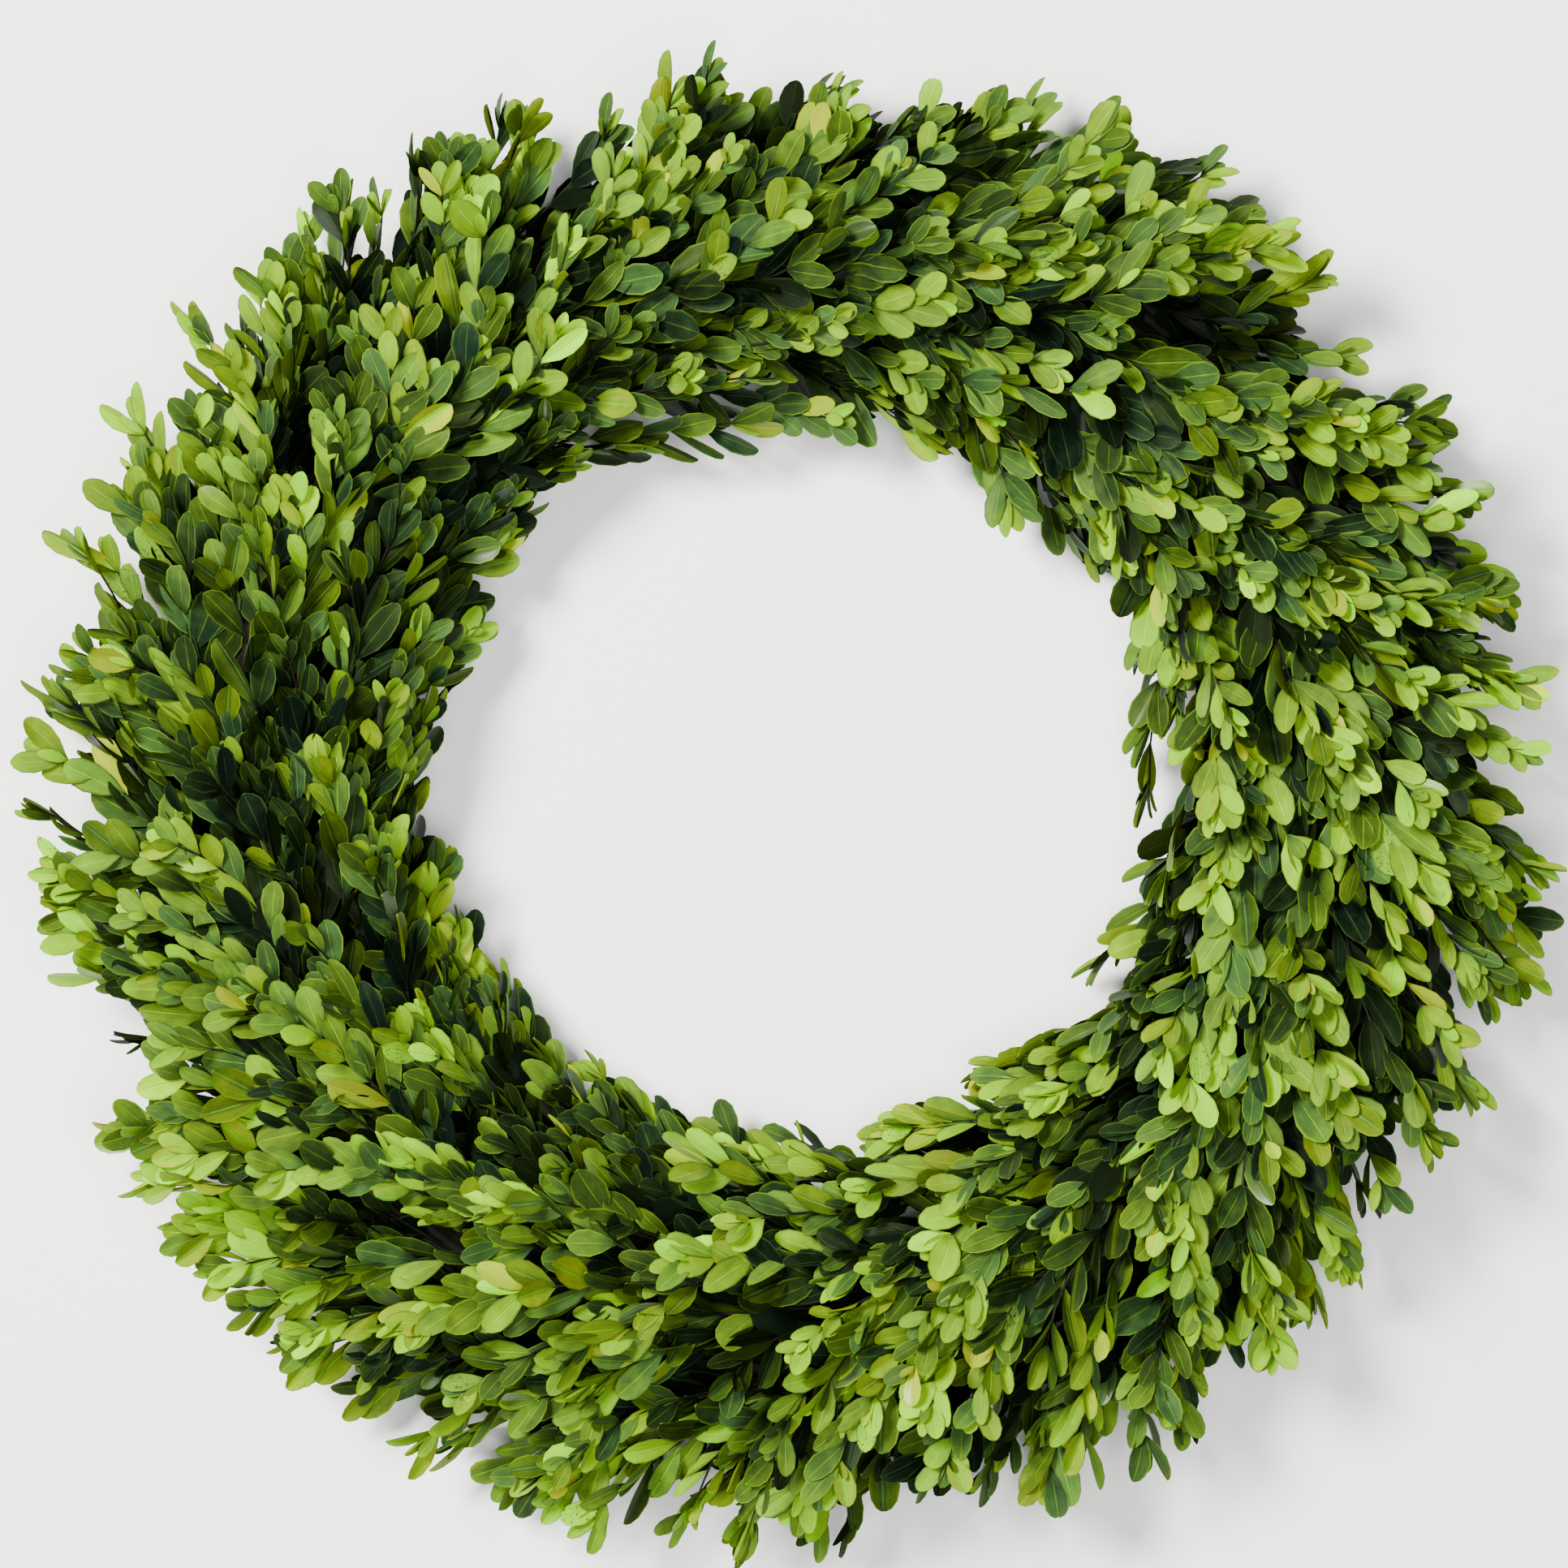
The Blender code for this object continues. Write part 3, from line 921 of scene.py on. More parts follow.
@dataclass(frozen=True)
class Route:
    """The curve that a stem follows, with three directions at each of its points."""

    points: np.ndarray
    along: np.ndarray
    up: np.ndarray
    side: np.ndarray
    lengths: np.ndarray

    @classmethod
    def through(cls, points: np.ndarray, outwards: np.ndarray) -> "Route":
        """Makes a route through points.

        Args:
            points: the points.
            outwards: for each point, the direction that the leaves there face.

        Returns:
            The route.
        """
        along = unit(np.gradient(points, axis=0))
        up = unit(outwards - along * np.sum(along * outwards, axis=1, keepdims=True))
        steps = np.linalg.norm(np.diff(points, axis=0), axis=1)
        lengths = np.concatenate([[0], np.cumsum(steps)])
        return cls(points, along, up, np.cross(along, up), lengths)

    def read(self, lengths: np.ndarray, vectors: np.ndarray) -> np.ndarray:
        """Reads some of the route's vectors at lengths along it."""
        return np.stack([np.interp(lengths, self.lengths, vectors[:, i]) for i in range(3)], axis=-1)

    def at(self, lengths: np.ndarray) -> tuple[np.ndarray, np.ndarray, np.ndarray, np.ndarray]:
        """Gives the points and the three directions at some lengths along the route."""
        directions = (unit(self.read(lengths, vectors)) for vectors in (self.along, self.up, self.side))
        return self.read(lengths, self.points), *directions

    def bend(self, pattern: Pattern, radii: np.ndarray, places: np.ndarray) -> np.ndarray:
        """Bends a straight stem pattern along the route.

        Args:
            pattern: a StemShape's pattern.
            radii: the stem's radius at each of places.
            places: lengths along the route, one for each ring of the pattern.

        Returns:
            The bent pattern's points.
        """
        rings = np.arange(len(places))
        share = pattern.points[:, 2] * (len(places) - 1)
        radius = np.interp(share, rings, radii)[:, None]
        points, _, up, side = self.at(np.interp(share, rings, places))
        return points + (side * pattern.points[:, :1] + up * pattern.points[:, 1:2]) * radius


# How far the outside swells, in millimetres, and the leaves' painted light and shade, clockwise from +X.
SWELL = (7.0, 6.0, 11.0, 11.0, 21.0, 13.0, 12.0, 5.0, 2.0, -8.0, 5.0, 0.0)
PAINTED_SIDE_LIGHT = (0.06, 0.0, 0.085, 0.065, 0.095, 0.12, -0.08, -0.065, 0.01, -0.11, -0.05, -0.09)


def around(table: tuple[float, ...], angle: float) -> float:
    """Reads a table of values that go round the wreath, a number for each equal step."""
    return float(np.interp(angle / TAU % 1, np.linspace(0, 1, len(table) + 1), (*table, table[0])))


@dataclass(frozen=True)
class Section:
    """The wreath's section: where the stems of its rows end, from low outside, over the front, to low inside.

    A place over the section goes from 0 outside to 1 inside. The angles passed are in degrees.
    """

    ring_radius: float = RING_RADIUS
    middle_height: float = 34 * MM
    facing_front: float = 0.75
    radii: tuple[float, ...] = (252 * MM, 247 * MM, 228 * MM, 197 * MM, 154 * MM, 134 * MM)
    heights: tuple[float, ...] = (21 * MM, 58 * MM, 80 * MM, 80 * MM, 61 * MM, 20 * MM)
    passed: tuple[float, ...] = (18.0, 18.5, 20.0, 24.0, 27.0, 29.0)
    front_from: float = 0.30
    inner_from: float = 0.70
    swell_from: float = 0.55
    swell_over: float = 0.35
    fine_places: int = 61

    def row(self, place: float) -> tuple[float, float, float]:
        """Gives the end of the row at a place.

        Args:
            place: the place over the section.

        Returns:
            Its radius, its height and the angle that its stems pass.
        """
        places = np.linspace(0, 1, len(self.radii))
        tables = (self.radii, self.heights, self.passed)
        radius, height, passed = (float(np.interp(place, places, values)) for values in tables)
        return radius, height, math.radians(passed)

    def swell(self, angle: float, place: float) -> float:
        """Gives how much further out the wreath reaches at an angle, as its outside isn't quite round."""
        outside = min(1.0, max(0.0, (self.swell_from - place) / self.swell_over))
        return outside * around(SWELL, angle) * MM

    def place_of(self, share: float) -> float:
        """Spreads shares evenly over the surface, which is wider outside than inside.

        Args:
            share: the share of the surface that lies further out.

        Returns:
            The place over the section.
        """
        places = np.linspace(0, 1, self.fine_places)
        weights = np.interp(places, np.linspace(0, 1, len(self.radii)), self.radii)
        sums = np.cumsum(weights)
        return float(np.interp(share, (sums - sums[0]) / (sums[-1] - sums[0]), places))

    def bundle(self, place: float) -> Bundle:
        """Gives the bundle that a sprig at a place leaves."""
        further_in = Bundle.FRONT if place < self.inner_from else Bundle.INNER
        return Bundle.OUTER if place < self.front_from else further_in

    def outward(self, radius: float, height: float) -> np.ndarray:
        """Gives the way out of the section at a point, as (radial, upwards)."""
        return unit(np.array([radius - self.ring_radius, height - self.middle_height]))


@dataclass(frozen=True)
class Bundles:
    """The places and the size of the three hexagonal bundles at each station, as in the frame."""

    radius: float = 14 * MM
    core_radius: float = 12.3 * MM
    ring_radius: float = RING_RADIUS
    low_height: float = 19.55 * MM
    gap: float = 0.35 * MM

    def middle(self, bundle: Bundle) -> tuple[float, float]:
        """Gives a bundle's middle.

        Args:
            bundle: the bundle.

        Returns:
            The radius and the height of its middle.
        """
        half_width = self.radius * math.cos(math.pi / 6)
        aside = {Bundle.OUTER: 1, Bundle.FRONT: 0, Bundle.INNER: -1}[bundle] * (half_width + self.gap / 2)
        up = 1.5 * self.radius + self.gap if bundle is Bundle.FRONT else 0
        return self.ring_radius + aside, self.low_height + up


@dataclass(frozen=True)
class Sprig:
    """One thin sprig: the curve of its stem, where it turns leafy, and its leaves' tone and size."""

    bundle: Bundle
    station: int
    route: Route
    free_from: float
    leafy_from: float
    tone: float
    leaf_length: float


BRANCH_TONES = (0.40, 0.45, 0.48, 0.50, 0.51, 0.53, 0.54, 0.55, 0.57, 0.59, 0.61)

# The sprigs that stand out: the photo's pixel at the tip, the tone, and the leaves' length in millimetres.
STRAYS = (
    (385, 225, 0.20, 22), (525, 165, 0.24, 27), (625, 160, 0.50, 25), (870, 98, 0.30, 25),
    (1235, 98, 0.32, 26), (215, 385, 0.62, 23), (300, 335, 0.50, 22), (150, 1480, 0.86, 25),
    (1788, 495, 0.18, 22), (1908, 1100, 0.50, 24), (22, 935, 0.56, 26), (690, 1872, 0.72, 26),
    (990, 1895, 0.62, 25), (1915, 830, 0.66, 26), (45, 1130, 0.34, 24), (1480, 1780, 0.24, 22),
    (1862, 715, 0.36, 23), (1590, 270, 0.60, 25), (125, 505, 0.52, 24), (510, 1815, 0.66, 26),
    (655, 1212, 0.22, 24), (990, 1360, 0.34, 24), (903, 1382, 0.28, 23), (1212, 655, 0.42, 24),
    (1335, 695, 0.62, 25), (578, 857, 0.26, 24), (546, 958, 0.56, 23), (1374, 800, 0.38, 22),
    (1222, 1288, 0.44, 23), (582, 1072, 0.50, 22), (714, 612, 0.46, 23), (772, 1336, 0.26, 20),
    (1432, 905, 0.50, 21),
)


@dataclass(frozen=True)
class SprigHabit:
    """How sprigs grow. A span is the lowest and the highest that is drawn. Lengths are in millimetres."""

    branches: int = 7
    under_side: float = 0.31
    deep_places: Span = (0.38, 0.66)
    start: Span = (0.0, 0.95)
    passed: Span = (0.92, 1.10)
    slip: Span = (-5, 5)
    long_chance: float = 0.14
    longer: Span = (0.04, 0.14)
    tone_spread: float = 0.05
    low_outside: float = 0.18
    low_darker: float = 0.10
    dark_chance: float = 0.16
    darker: Span = (0.12, 0.30)
    leaf_length: Span = (17.0, 29.0)
    usual_leaf_length: float = 21.5
    stray_places: Span = (0.12, 0.24)
    inside_further: float = 0.70
    stray_tip_leaf: float = 0.7
    stray_passed: float = 1.05
    inside_fan: float = -0.55
    wobble: Span = (-0.6, 0.6)
    off_middle: Span = (6, 11)
    front_inwards: float = 8
    lowest_start: float = 7
    lowest_end: float = 12
    furthest: float = 273
    fan_places: tuple[float, ...] = (0.0, 0.4, 0.7, 0.85, 1.0)
    fans: tuple[float, ...] = (0.32, 0.40, 0.32, 0.10, -0.05)
    leafy_from: Span = (0.13, 0.32)
    tail: Span = (35, 65)
    tail_ends: Span = (1, 0.12)
    tail_points: int = 7
    drift: Span = (-3, 3)
    drift_up: float = 0.3
    leaving_forward: float = 0.60
    arriving_back: float = 0.15
    swerve: float = 0.13
    free_points: int = 22


class SprigPlanner:
    """Works out every sprig of the wreath, by a seeded rule."""

    def __init__(self, section: Section, bundles: Bundles, seed: int) -> None:
        """Keeps the shapes that the sprigs follow.

        Args:
            section: the wreath's section.
            bundles: the bundles that the sprigs leave.
            seed: the seed of what is drawn.
        """
        self.section = section
        self.bundles = bundles
        self.habit = SprigHabit()
        self.rng = random.Random(seed)

    def plan(self) -> list[Sprig]:
        """Plans the sprigs of all stations.

        Returns:
            The sprigs.
        """
        habit, rng = self.habit, self.rng
        sprigs = []
        for station in range(STATIONS):
            branch_tones = [rng.choice(BRANCH_TONES) for _ in range(habit.branches)]
            for shell in (Shell.SURFACE, Shell.UNDER):
                for i in range(shell.value.count):
                    place = self.section.place_of((i + rng.random()) / shell.value.count)
                    if shell is Shell.UNDER:
                        place *= 2 * habit.under_side
                        place += 1 - 2 * habit.under_side if place > habit.under_side else 0.0
                    branch = min(int(place * habit.branches), habit.branches - 1)
                    sprigs.append(self.sprig(station, place, shell, branch_tones[branch]))
        sprigs += [self.stray(*row) for row in STRAYS]
        for station in range(STATIONS):
            for _ in range(Shell.DEEP.value.count):
                place = rng.uniform(*habit.deep_places)
                sprigs.append(self.sprig(station, place, Shell.DEEP, rng.choice(BRANCH_TONES)))
        return sprigs

    def sprig(self, station: int, place: float, shell: Shell, branch_tone: float) -> Sprig:
        """Plans one sprig.

        Args:
            station: the station that its stem leaves.
            place: its place over the section, from 0 outside to 1 inside.
            shell: how deep it ends.
            branch_tone: the tone of the branch that it was cut from.

        Returns:
            The sprig.
        """
        habit, rng = self.habit, self.rng
        radius, height, passed = self.section.row(place)
        start_angle = (station + rng.uniform(*habit.start)) * STATION_TURN
        end_angle = start_angle + passed * rng.uniform(*habit.passed)
        slip = np.array([rng.uniform(*habit.slip), rng.uniform(*habit.slip)]) * MM
        radius += self.section.swell(end_angle, place)
        end = ring_point(end_angle, radius + slip[0], height + slip[1])
        longer = rng.uniform(*habit.longer) if rng.random() < habit.long_chance else 0.0
        # Painted light and shade round the ring, read from the table, is added to the sprig's tone here.
        tone = branch_tone + rng.gauss(0, habit.tone_spread) + shell.value.tone + around(PAINTED_SIDE_LIGHT, end_angle)
        tone -= habit.low_darker * max(0.0, habit.low_outside - place) / habit.low_outside
        if rng.random() < habit.dark_chance:
            tone -= rng.uniform(*habit.darker)
        reach = rng.uniform(*shell.value.reach) + longer
        leaf_length = rng.triangular(*habit.leaf_length, habit.usual_leaf_length) * MM
        return self.lay(start_angle, place, end, reach, tone, leaf_length)

    def stray(self, x: float, y: float, tone: float, leaf_length: float) -> Sprig:
        """Plans one of the sprigs that stand out.

        Args:
            x: its tip in the photo, in pixels from the left.
            y: its tip in the photo, in pixels from the top.
            tone: its tone.
            leaf_length: the length of its leaves, in millimetres.

        Returns:
            The sprig.
        """
        habit = self.habit
        tip = np.array([x - HOLE_X, HOLE_Y - y]) * MM_PER_PIXEL * MM
        angle, radius = math.atan2(-tip[1], tip[0]), float(np.hypot(*tip))
        inside = radius < self.section.ring_radius
        place = self.rng.uniform(*habit.stray_places) + (habit.inside_further if inside else 0.0)
        _, height, passed = self.section.row(place)
        back = habit.stray_tip_leaf * (-1 if inside else 1)
        end = ring_point(angle, radius - back * leaf_length * MM, height)
        more_fan = habit.inside_fan if inside else 0.0
        start_angle = angle - habit.stray_passed * passed
        return self.lay(start_angle, place, end, 1.0, tone, leaf_length * MM, more_fan)

    def lay(
        self, start_angle: float, place: float, end: np.ndarray, reach: float, tone: float,
        leaf_length: float, more_fan: float = 0.0
    ) -> Sprig:
        """Lays a sprig from its bundle to its end.

        Args:
            start_angle: the angle where it leaves its bundle.
            place: its place over the section, from 0 outside to 1 inside.
            end: the end of its row.
            reach: the share of the way to that end that it goes.
            tone: its tone.
            leaf_length: the length of its leaves.
            more_fan: how much more its end turns out from the ring.

        Returns:
            The sprig.
        """
        habit, rng = self.habit, self.rng
        bundle = self.section.bundle(place)
        radius, height, _ = self.section.row(place)
        out = self.section.outward(radius, height)
        wobble = rng.uniform(*habit.wobble)
        turned = np.array([out[0] * math.cos(wobble) - out[1] * math.sin(wobble),
                           out[0] * math.sin(wobble) + out[1] * math.cos(wobble)])
        base = np.array(self.bundles.middle(bundle)) + turned * rng.uniform(*habit.off_middle) * MM
        if bundle is Bundle.FRONT:
            base[0] -= habit.front_inwards * MM
        base[1] = max(base[1], habit.lowest_start * MM)
        start = ring_point(start_angle, base[0], base[1])
        end = start + (end - start) * reach
        end[:2] *= min(1.0, habit.furthest * MM / float(np.hypot(end[0], end[1])))
        end[2] = max(end[2], habit.lowest_end * MM)
        fan = float(np.interp(place, habit.fan_places, habit.fans))
        points, free_from = self.curve(start_angle, base, start, end, fan + more_fan)
        angles = np.arctan2(-points[:, 1], points[:, 0])
        facing = out + np.array([0, self.section.facing_front])
        route = Route.through(points, ring_point(angles, facing[0], facing[1]))
        return Sprig(
            bundle=bundle,
            station=int(start_angle / STATION_TURN) % STATIONS,
            route=route,
            free_from=free_from,
            leafy_from=free_from + (route.lengths[-1] - free_from) * rng.uniform(*habit.leafy_from),
            tone=tone,
            leaf_length=leaf_length,
        )

    def curve(
        self, angle: float, base: np.ndarray, start: np.ndarray, end: np.ndarray, fan: float
    ) -> tuple[np.ndarray, float]:
        """Gives a stem's points: along the ring inside its bundle, then in one soft bend to its end.

        Args:
            angle: the angle where the stem leaves its bundle.
            base: the radius and height of its place in the bundle.
            start: that place as a point.
            end: the stem's end.
            fan: how much its end turns out from the ring.

        Returns:
            The points, and the length along them where the stem leaves its bundle.
        """
        habit, rng = self.habit, self.rng
        tail = rng.uniform(*habit.tail) * MM / base[0]
        tail_angles = angle - tail * np.linspace(*habit.tail_ends, habit.tail_points)
        drift = rng.uniform(*habit.drift) * MM * np.linspace(1, 0, habit.tail_points)
        tail_points = ring_point(tail_angles, base[0] + drift, base[1] + np.abs(drift) * habit.drift_up)
        chord = end - start
        length = np.linalg.norm(chord)
        tangent = np.array([-math.sin(angle), -math.cos(angle), 0.0])
        outwards = np.array([math.cos(angle), -math.sin(angle), 0.0])
        leaving = unit(unit(chord) + habit.leaving_forward * tangent) * length
        swerve = np.array([rng.gauss(0, habit.swerve) for _ in range(3)])
        arriving = unit(unit(chord) + fan * outwards - habit.arriving_back * tangent + swerve) * length
        t = np.linspace(0, 1, habit.free_points)[:, None]
        free = (
            (2 * t**3 - 3 * t**2 + 1) * start
            + (t**3 - 2 * t**2 + t) * leaving
            + (3 * t**2 - 2 * t**3) * end
            + (t**3 - t**2) * arriving
        )
        points = np.concatenate([tail_points, free])
        steps = np.linalg.norm(np.diff(points[: len(tail_points) + 1], axis=0), axis=1)
        return points, float(steps.sum())


@dataclass(frozen=True)
class StemSizes:
    """The sizes of the sprigs' stems and of the bundles' cores."""

    sides: int = 6
    bound_rings: int = 3
    free_rings: int = 9
    radii: tuple[float, float, float] = (1.0 * MM, 0.85 * MM, 0.38 * MM)
    core_sides: int = 36
    core_rings: int = 6
    core_grooves: float = 0.13
    core_span: Span = (0.002, 0.998)
    core_points: int = 13


@dataclass(frozen=True)
class LeafHabit:
    """How leaves sit on a sprig. A span is the lowest and the highest that is drawn.

    Spreads and lifts are in degrees, and turns, rolls and twists in radians. Sizes are shares of the sprig's
    own. A row of the tuft is a leaf's hand, spread, lift and size.
    """

    turn: float = 0.42
    raised: Span = (1, 13)
    end_gap: float = 3 * MM
    least_size: float = 0.84
    more_size: float = 0.22
    size_ahead: float = 0.15
    roll: float = 0.2
    twist: float = 0.26
    turned_chance: float = 0.24
    turned_roll: Span = (0.6, 1.3)
    turned_twist: float = 0.45
    missing_chance: float = 0.10
    spread: Span = (17, 38)
    tip_spread: float = 6
    lift: float = 4
    size: Span = (0.88, 1.12)
    pair_step: Span = (0.52, 0.70)
    tip_closer: float = 0.25
    tuft: tuple[tuple, ...] = ((-1, 25, 4, 0.78), (1, 27, 0, 0.74), (1, 4, -9, 0.64), (-1, 3, 24, 0.46))
    tuft_counts: tuple[int, ...] = (3, 4, 4)
    tuft_spread: Span = (-7, 7)
    tuft_raised: float = 0.6
    tuft_lift: Span = (-3, 3)
    tuft_size: Span = (0.85, 1.15)
    tuft_back: float = 0.5 * MM
    tuft_twist: float = 0.15
    lowest: float = 3 * MM
    # Painted shade: leaves nearer the sprig's foot, under the later ones, get a lower tone.
    painted_foot_shade: float = 0.46
    lighter: float = 0.09
    tone: float = 0.14
    kinds: tuple[int, ...] = (5, 6, 1, 3, 3)
    width: Span = (0.92, 1.20)


@dataclass(frozen=True)
class Leaf:
    """One leaf on its sprig: the place of its root along the stem, how it is turned there, and its size."""

    length: float
    roll: float
    hand: int
    spread: float
    lift: float
    size: float
    twist: float


class BunchMaker:
    """Builds each bunch from the leaf, stem and core patterns."""

    def __init__(self, bundles: Bundles, seed: int) -> None:
        """Models the patterns and makes the finishes.

        Args:
            bundles: the bundles that the bunches stand on.
            seed: the seed of what is drawn.
        """
        self.bundles = bundles
        self.sizes = StemSizes()
        self.habit = LeafHabit()
        self.rng = random.Random(seed)
        sizes = self.sizes
        top, under = LEAF_TOP.make(), LEAF_UNDER.make()
        self.materials = [top, under, StemFinish().make()]
        self.leaves = [shape.model(top, under) for shape in LEAF_SHAPES]
        self.stem = StemShape(sizes.sides, sizes.bound_rings + sizes.free_rings).model()
        self.core = StemShape(sizes.core_sides, sizes.core_rings, sizes.core_grooves).model()

    def build(self, bundle: Bundle, station: int, sprigs: list[Sprig]) -> bpy.types.Object:
        """Builds one bunch, which takes its frame node's place.

        Args:
            bundle: which of the station's bundles it is.
            station: its station, from 0.
            sprigs: its sprigs.

        Returns:
            The bunch.
        """
        node = f"bunch_{bundle.value}_{station + 1:02d}"
        copies = Copies()
        self.add_core(copies, bundle, station)
        leaves = [[] for _ in self.leaves]
        for sprig in sprigs:
            self.add_stem(copies, sprig)
            self.grow(sprig, leaves)
        for pattern, rows in zip(self.leaves, leaves):
            if rows:
                self.add_leaves(copies, pattern, rows)
        piece = copies.build(f"{node}_foliage", self.materials)
        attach(piece, "root")
        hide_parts(node)
        return piece

    def add_core(self, copies: Copies, bundle: Bundle, station: int) -> None:
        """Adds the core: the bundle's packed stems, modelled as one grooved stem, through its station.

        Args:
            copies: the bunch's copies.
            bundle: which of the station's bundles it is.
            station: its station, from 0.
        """
        sizes = self.sizes
        radius, height = self.bundles.middle(bundle)
        angles = (station + np.linspace(*sizes.core_span, sizes.core_points)) * STATION_TURN
        points = ring_point(angles, radius, height)
        route = Route.through(points, np.tile([0.0, 0.0, 1.0], (len(points), 1)))
        places = np.linspace(0, route.lengths[-1], sizes.core_rings)
        bent = route.bend(self.core, np.full(sizes.core_rings, self.bundles.core_radius), places)
        copies.add(self.core, bent[None], np.array([[0.0, 0.5, 0.0]]), Finish.STEM)

    def add_stem(self, copies: Copies, sprig: Sprig) -> None:
        """Adds a sprig's stem, thick in its bundle and thin at its tip.

        Args:
            copies: the bunch's copies.
            sprig: the sprig.
        """
        sizes = self.sizes
        ends = (0, sprig.free_from, sprig.route.lengths[-1])
        bound = np.linspace(ends[0], ends[1], sizes.bound_rings, endpoint=False)
        places = np.concatenate([bound, np.linspace(ends[1], ends[2], sizes.free_rings)])
        bent = sprig.route.bend(self.stem, np.interp(places, ends, sizes.radii), places)
        copies.add(self.stem, bent[None], np.array([[sprig.tone, self.rng.random(), 0.0]]), Finish.STEM)

    def grow(self, sprig: Sprig, leaves: list[list[tuple]]) -> None:
        """Lists a sprig's leaves: opposite pairs up its stem, and a tuft at its end.

        Args:
            sprig: the sprig.
            leaves: the lists of leaves, one for each kind, which grow.
        """
        habit, rng = self.habit, self.rng
        end = sprig.route.lengths[-1]
        length = sprig.leafy_from
        turn = rng.gauss(0, habit.turn)
        raised = rng.uniform(*habit.raised)
        while length < end - habit.end_gap:
            share = (length - sprig.leafy_from) / (end - sprig.leafy_from)
            swelling = math.sin(math.pi * min(1.0, share + habit.size_ahead))
            size = sprig.leaf_length * (habit.least_size + habit.more_size * swelling)
            roll, twist = turn + rng.gauss(0, habit.roll), habit.twist
            if rng.random() < habit.turned_chance:
                roll, twist = roll + rng.choice((-1, 1)) * rng.uniform(*habit.turned_roll), habit.turned_twist
            for hand in (-1, 1):
                if rng.random() < habit.missing_chance:
                    continue
                spread = math.radians(rng.uniform(*habit.spread) - habit.tip_spread * share)
                lift = math.radians(raised + rng.gauss(0, habit.lift))
                own_size = size * rng.uniform(*habit.size)
                self.list_leaf(sprig, leaves, Leaf(length, roll, hand, spread, lift, own_size, twist))
            length += sprig.leaf_length * rng.uniform(*habit.pair_step) * (1 - habit.tip_closer * share)
        for hand, spread, lift, size in habit.tuft[:rng.choice(habit.tuft_counts)]:
            spread = math.radians(spread + rng.uniform(*habit.tuft_spread))
            lift = math.radians(lift + raised * habit.tuft_raised + rng.uniform(*habit.tuft_lift))
            size *= sprig.leaf_length * rng.uniform(*habit.tuft_size)
            roll = turn + rng.gauss(0, habit.roll)
            leaf = Leaf(end - habit.tuft_back, roll, hand, spread, lift, size, habit.tuft_twist)
            self.list_leaf(sprig, leaves, leaf)

    def list_leaf(self, sprig: Sprig, leaves: list[list[tuple]], leaf: Leaf) -> None:
        """Lists one leaf by its kind, its root, its three directions and its tint, unless its tip is too low.

        Args:
            sprig: the sprig that it grows on.
            leaves: the lists of leaves, one for each kind, which grow.
            leaf: the leaf.
        """
        habit, rng = self.habit, self.rng
        root, along, up, side = (row[0] for row in sprig.route.at(np.array([leaf.length])))
        facing = up * math.cos(leaf.roll) + side * math.sin(leaf.roll)
        aside = np.cross(along, facing)
        flat = along * math.cos(leaf.spread) + aside * (leaf.hand * math.sin(leaf.spread))
        axis = flat * math.cos(leaf.lift) + facing * math.sin(leaf.lift)
        normal = facing * math.cos(leaf.lift) - flat * math.sin(leaf.lift)
        across = np.cross(axis, normal)
        twist = rng.gauss(0, leaf.twist)
        normal, across = (
            normal * math.cos(twist) + across * math.sin(twist),
            across * math.cos(twist) - normal * math.sin(twist),
        )
        if (root + axis * leaf.size)[2] < habit.lowest:
            return
        share = (leaf.length - sprig.leafy_from) / (sprig.route.lengths[-1] - sprig.leafy_from)
        # Painted shade: the nearer a leaf is to the sprig's foot, the darker it is.
        tone = sprig.tone - habit.painted_foot_shade * (1 - share) + habit.lighter + rng.gauss(0, habit.tone)
        tint = (tone, rng.random(), rng.random())
        kind = rng.choices(range(len(LEAF_SHAPES)), habit.kinds)[0]
        width = leaf.size * rng.uniform(*habit.width)
        leaves[kind].append((root, across * width, axis * leaf.size, normal * leaf.size, tint))

    @staticmethod
    def add_leaves(copies: Copies, pattern: Pattern, rows: list[tuple]) -> None:
        """Adds the listed leaves of one kind.

        Args:
            copies: the bunch's copies.
            pattern: the kind's pattern.
            rows: the listed leaves.
        """
        roots, across, axes, normals, tints = (np.array(column) for column in zip(*rows))
        points = roots[:, None] + sum(
            direction[:, None] * pattern.points[None, :, i : i + 1]
            for i, direction in enumerate((across, axes, normals))
        )
        copies.add(pattern, points, tints)


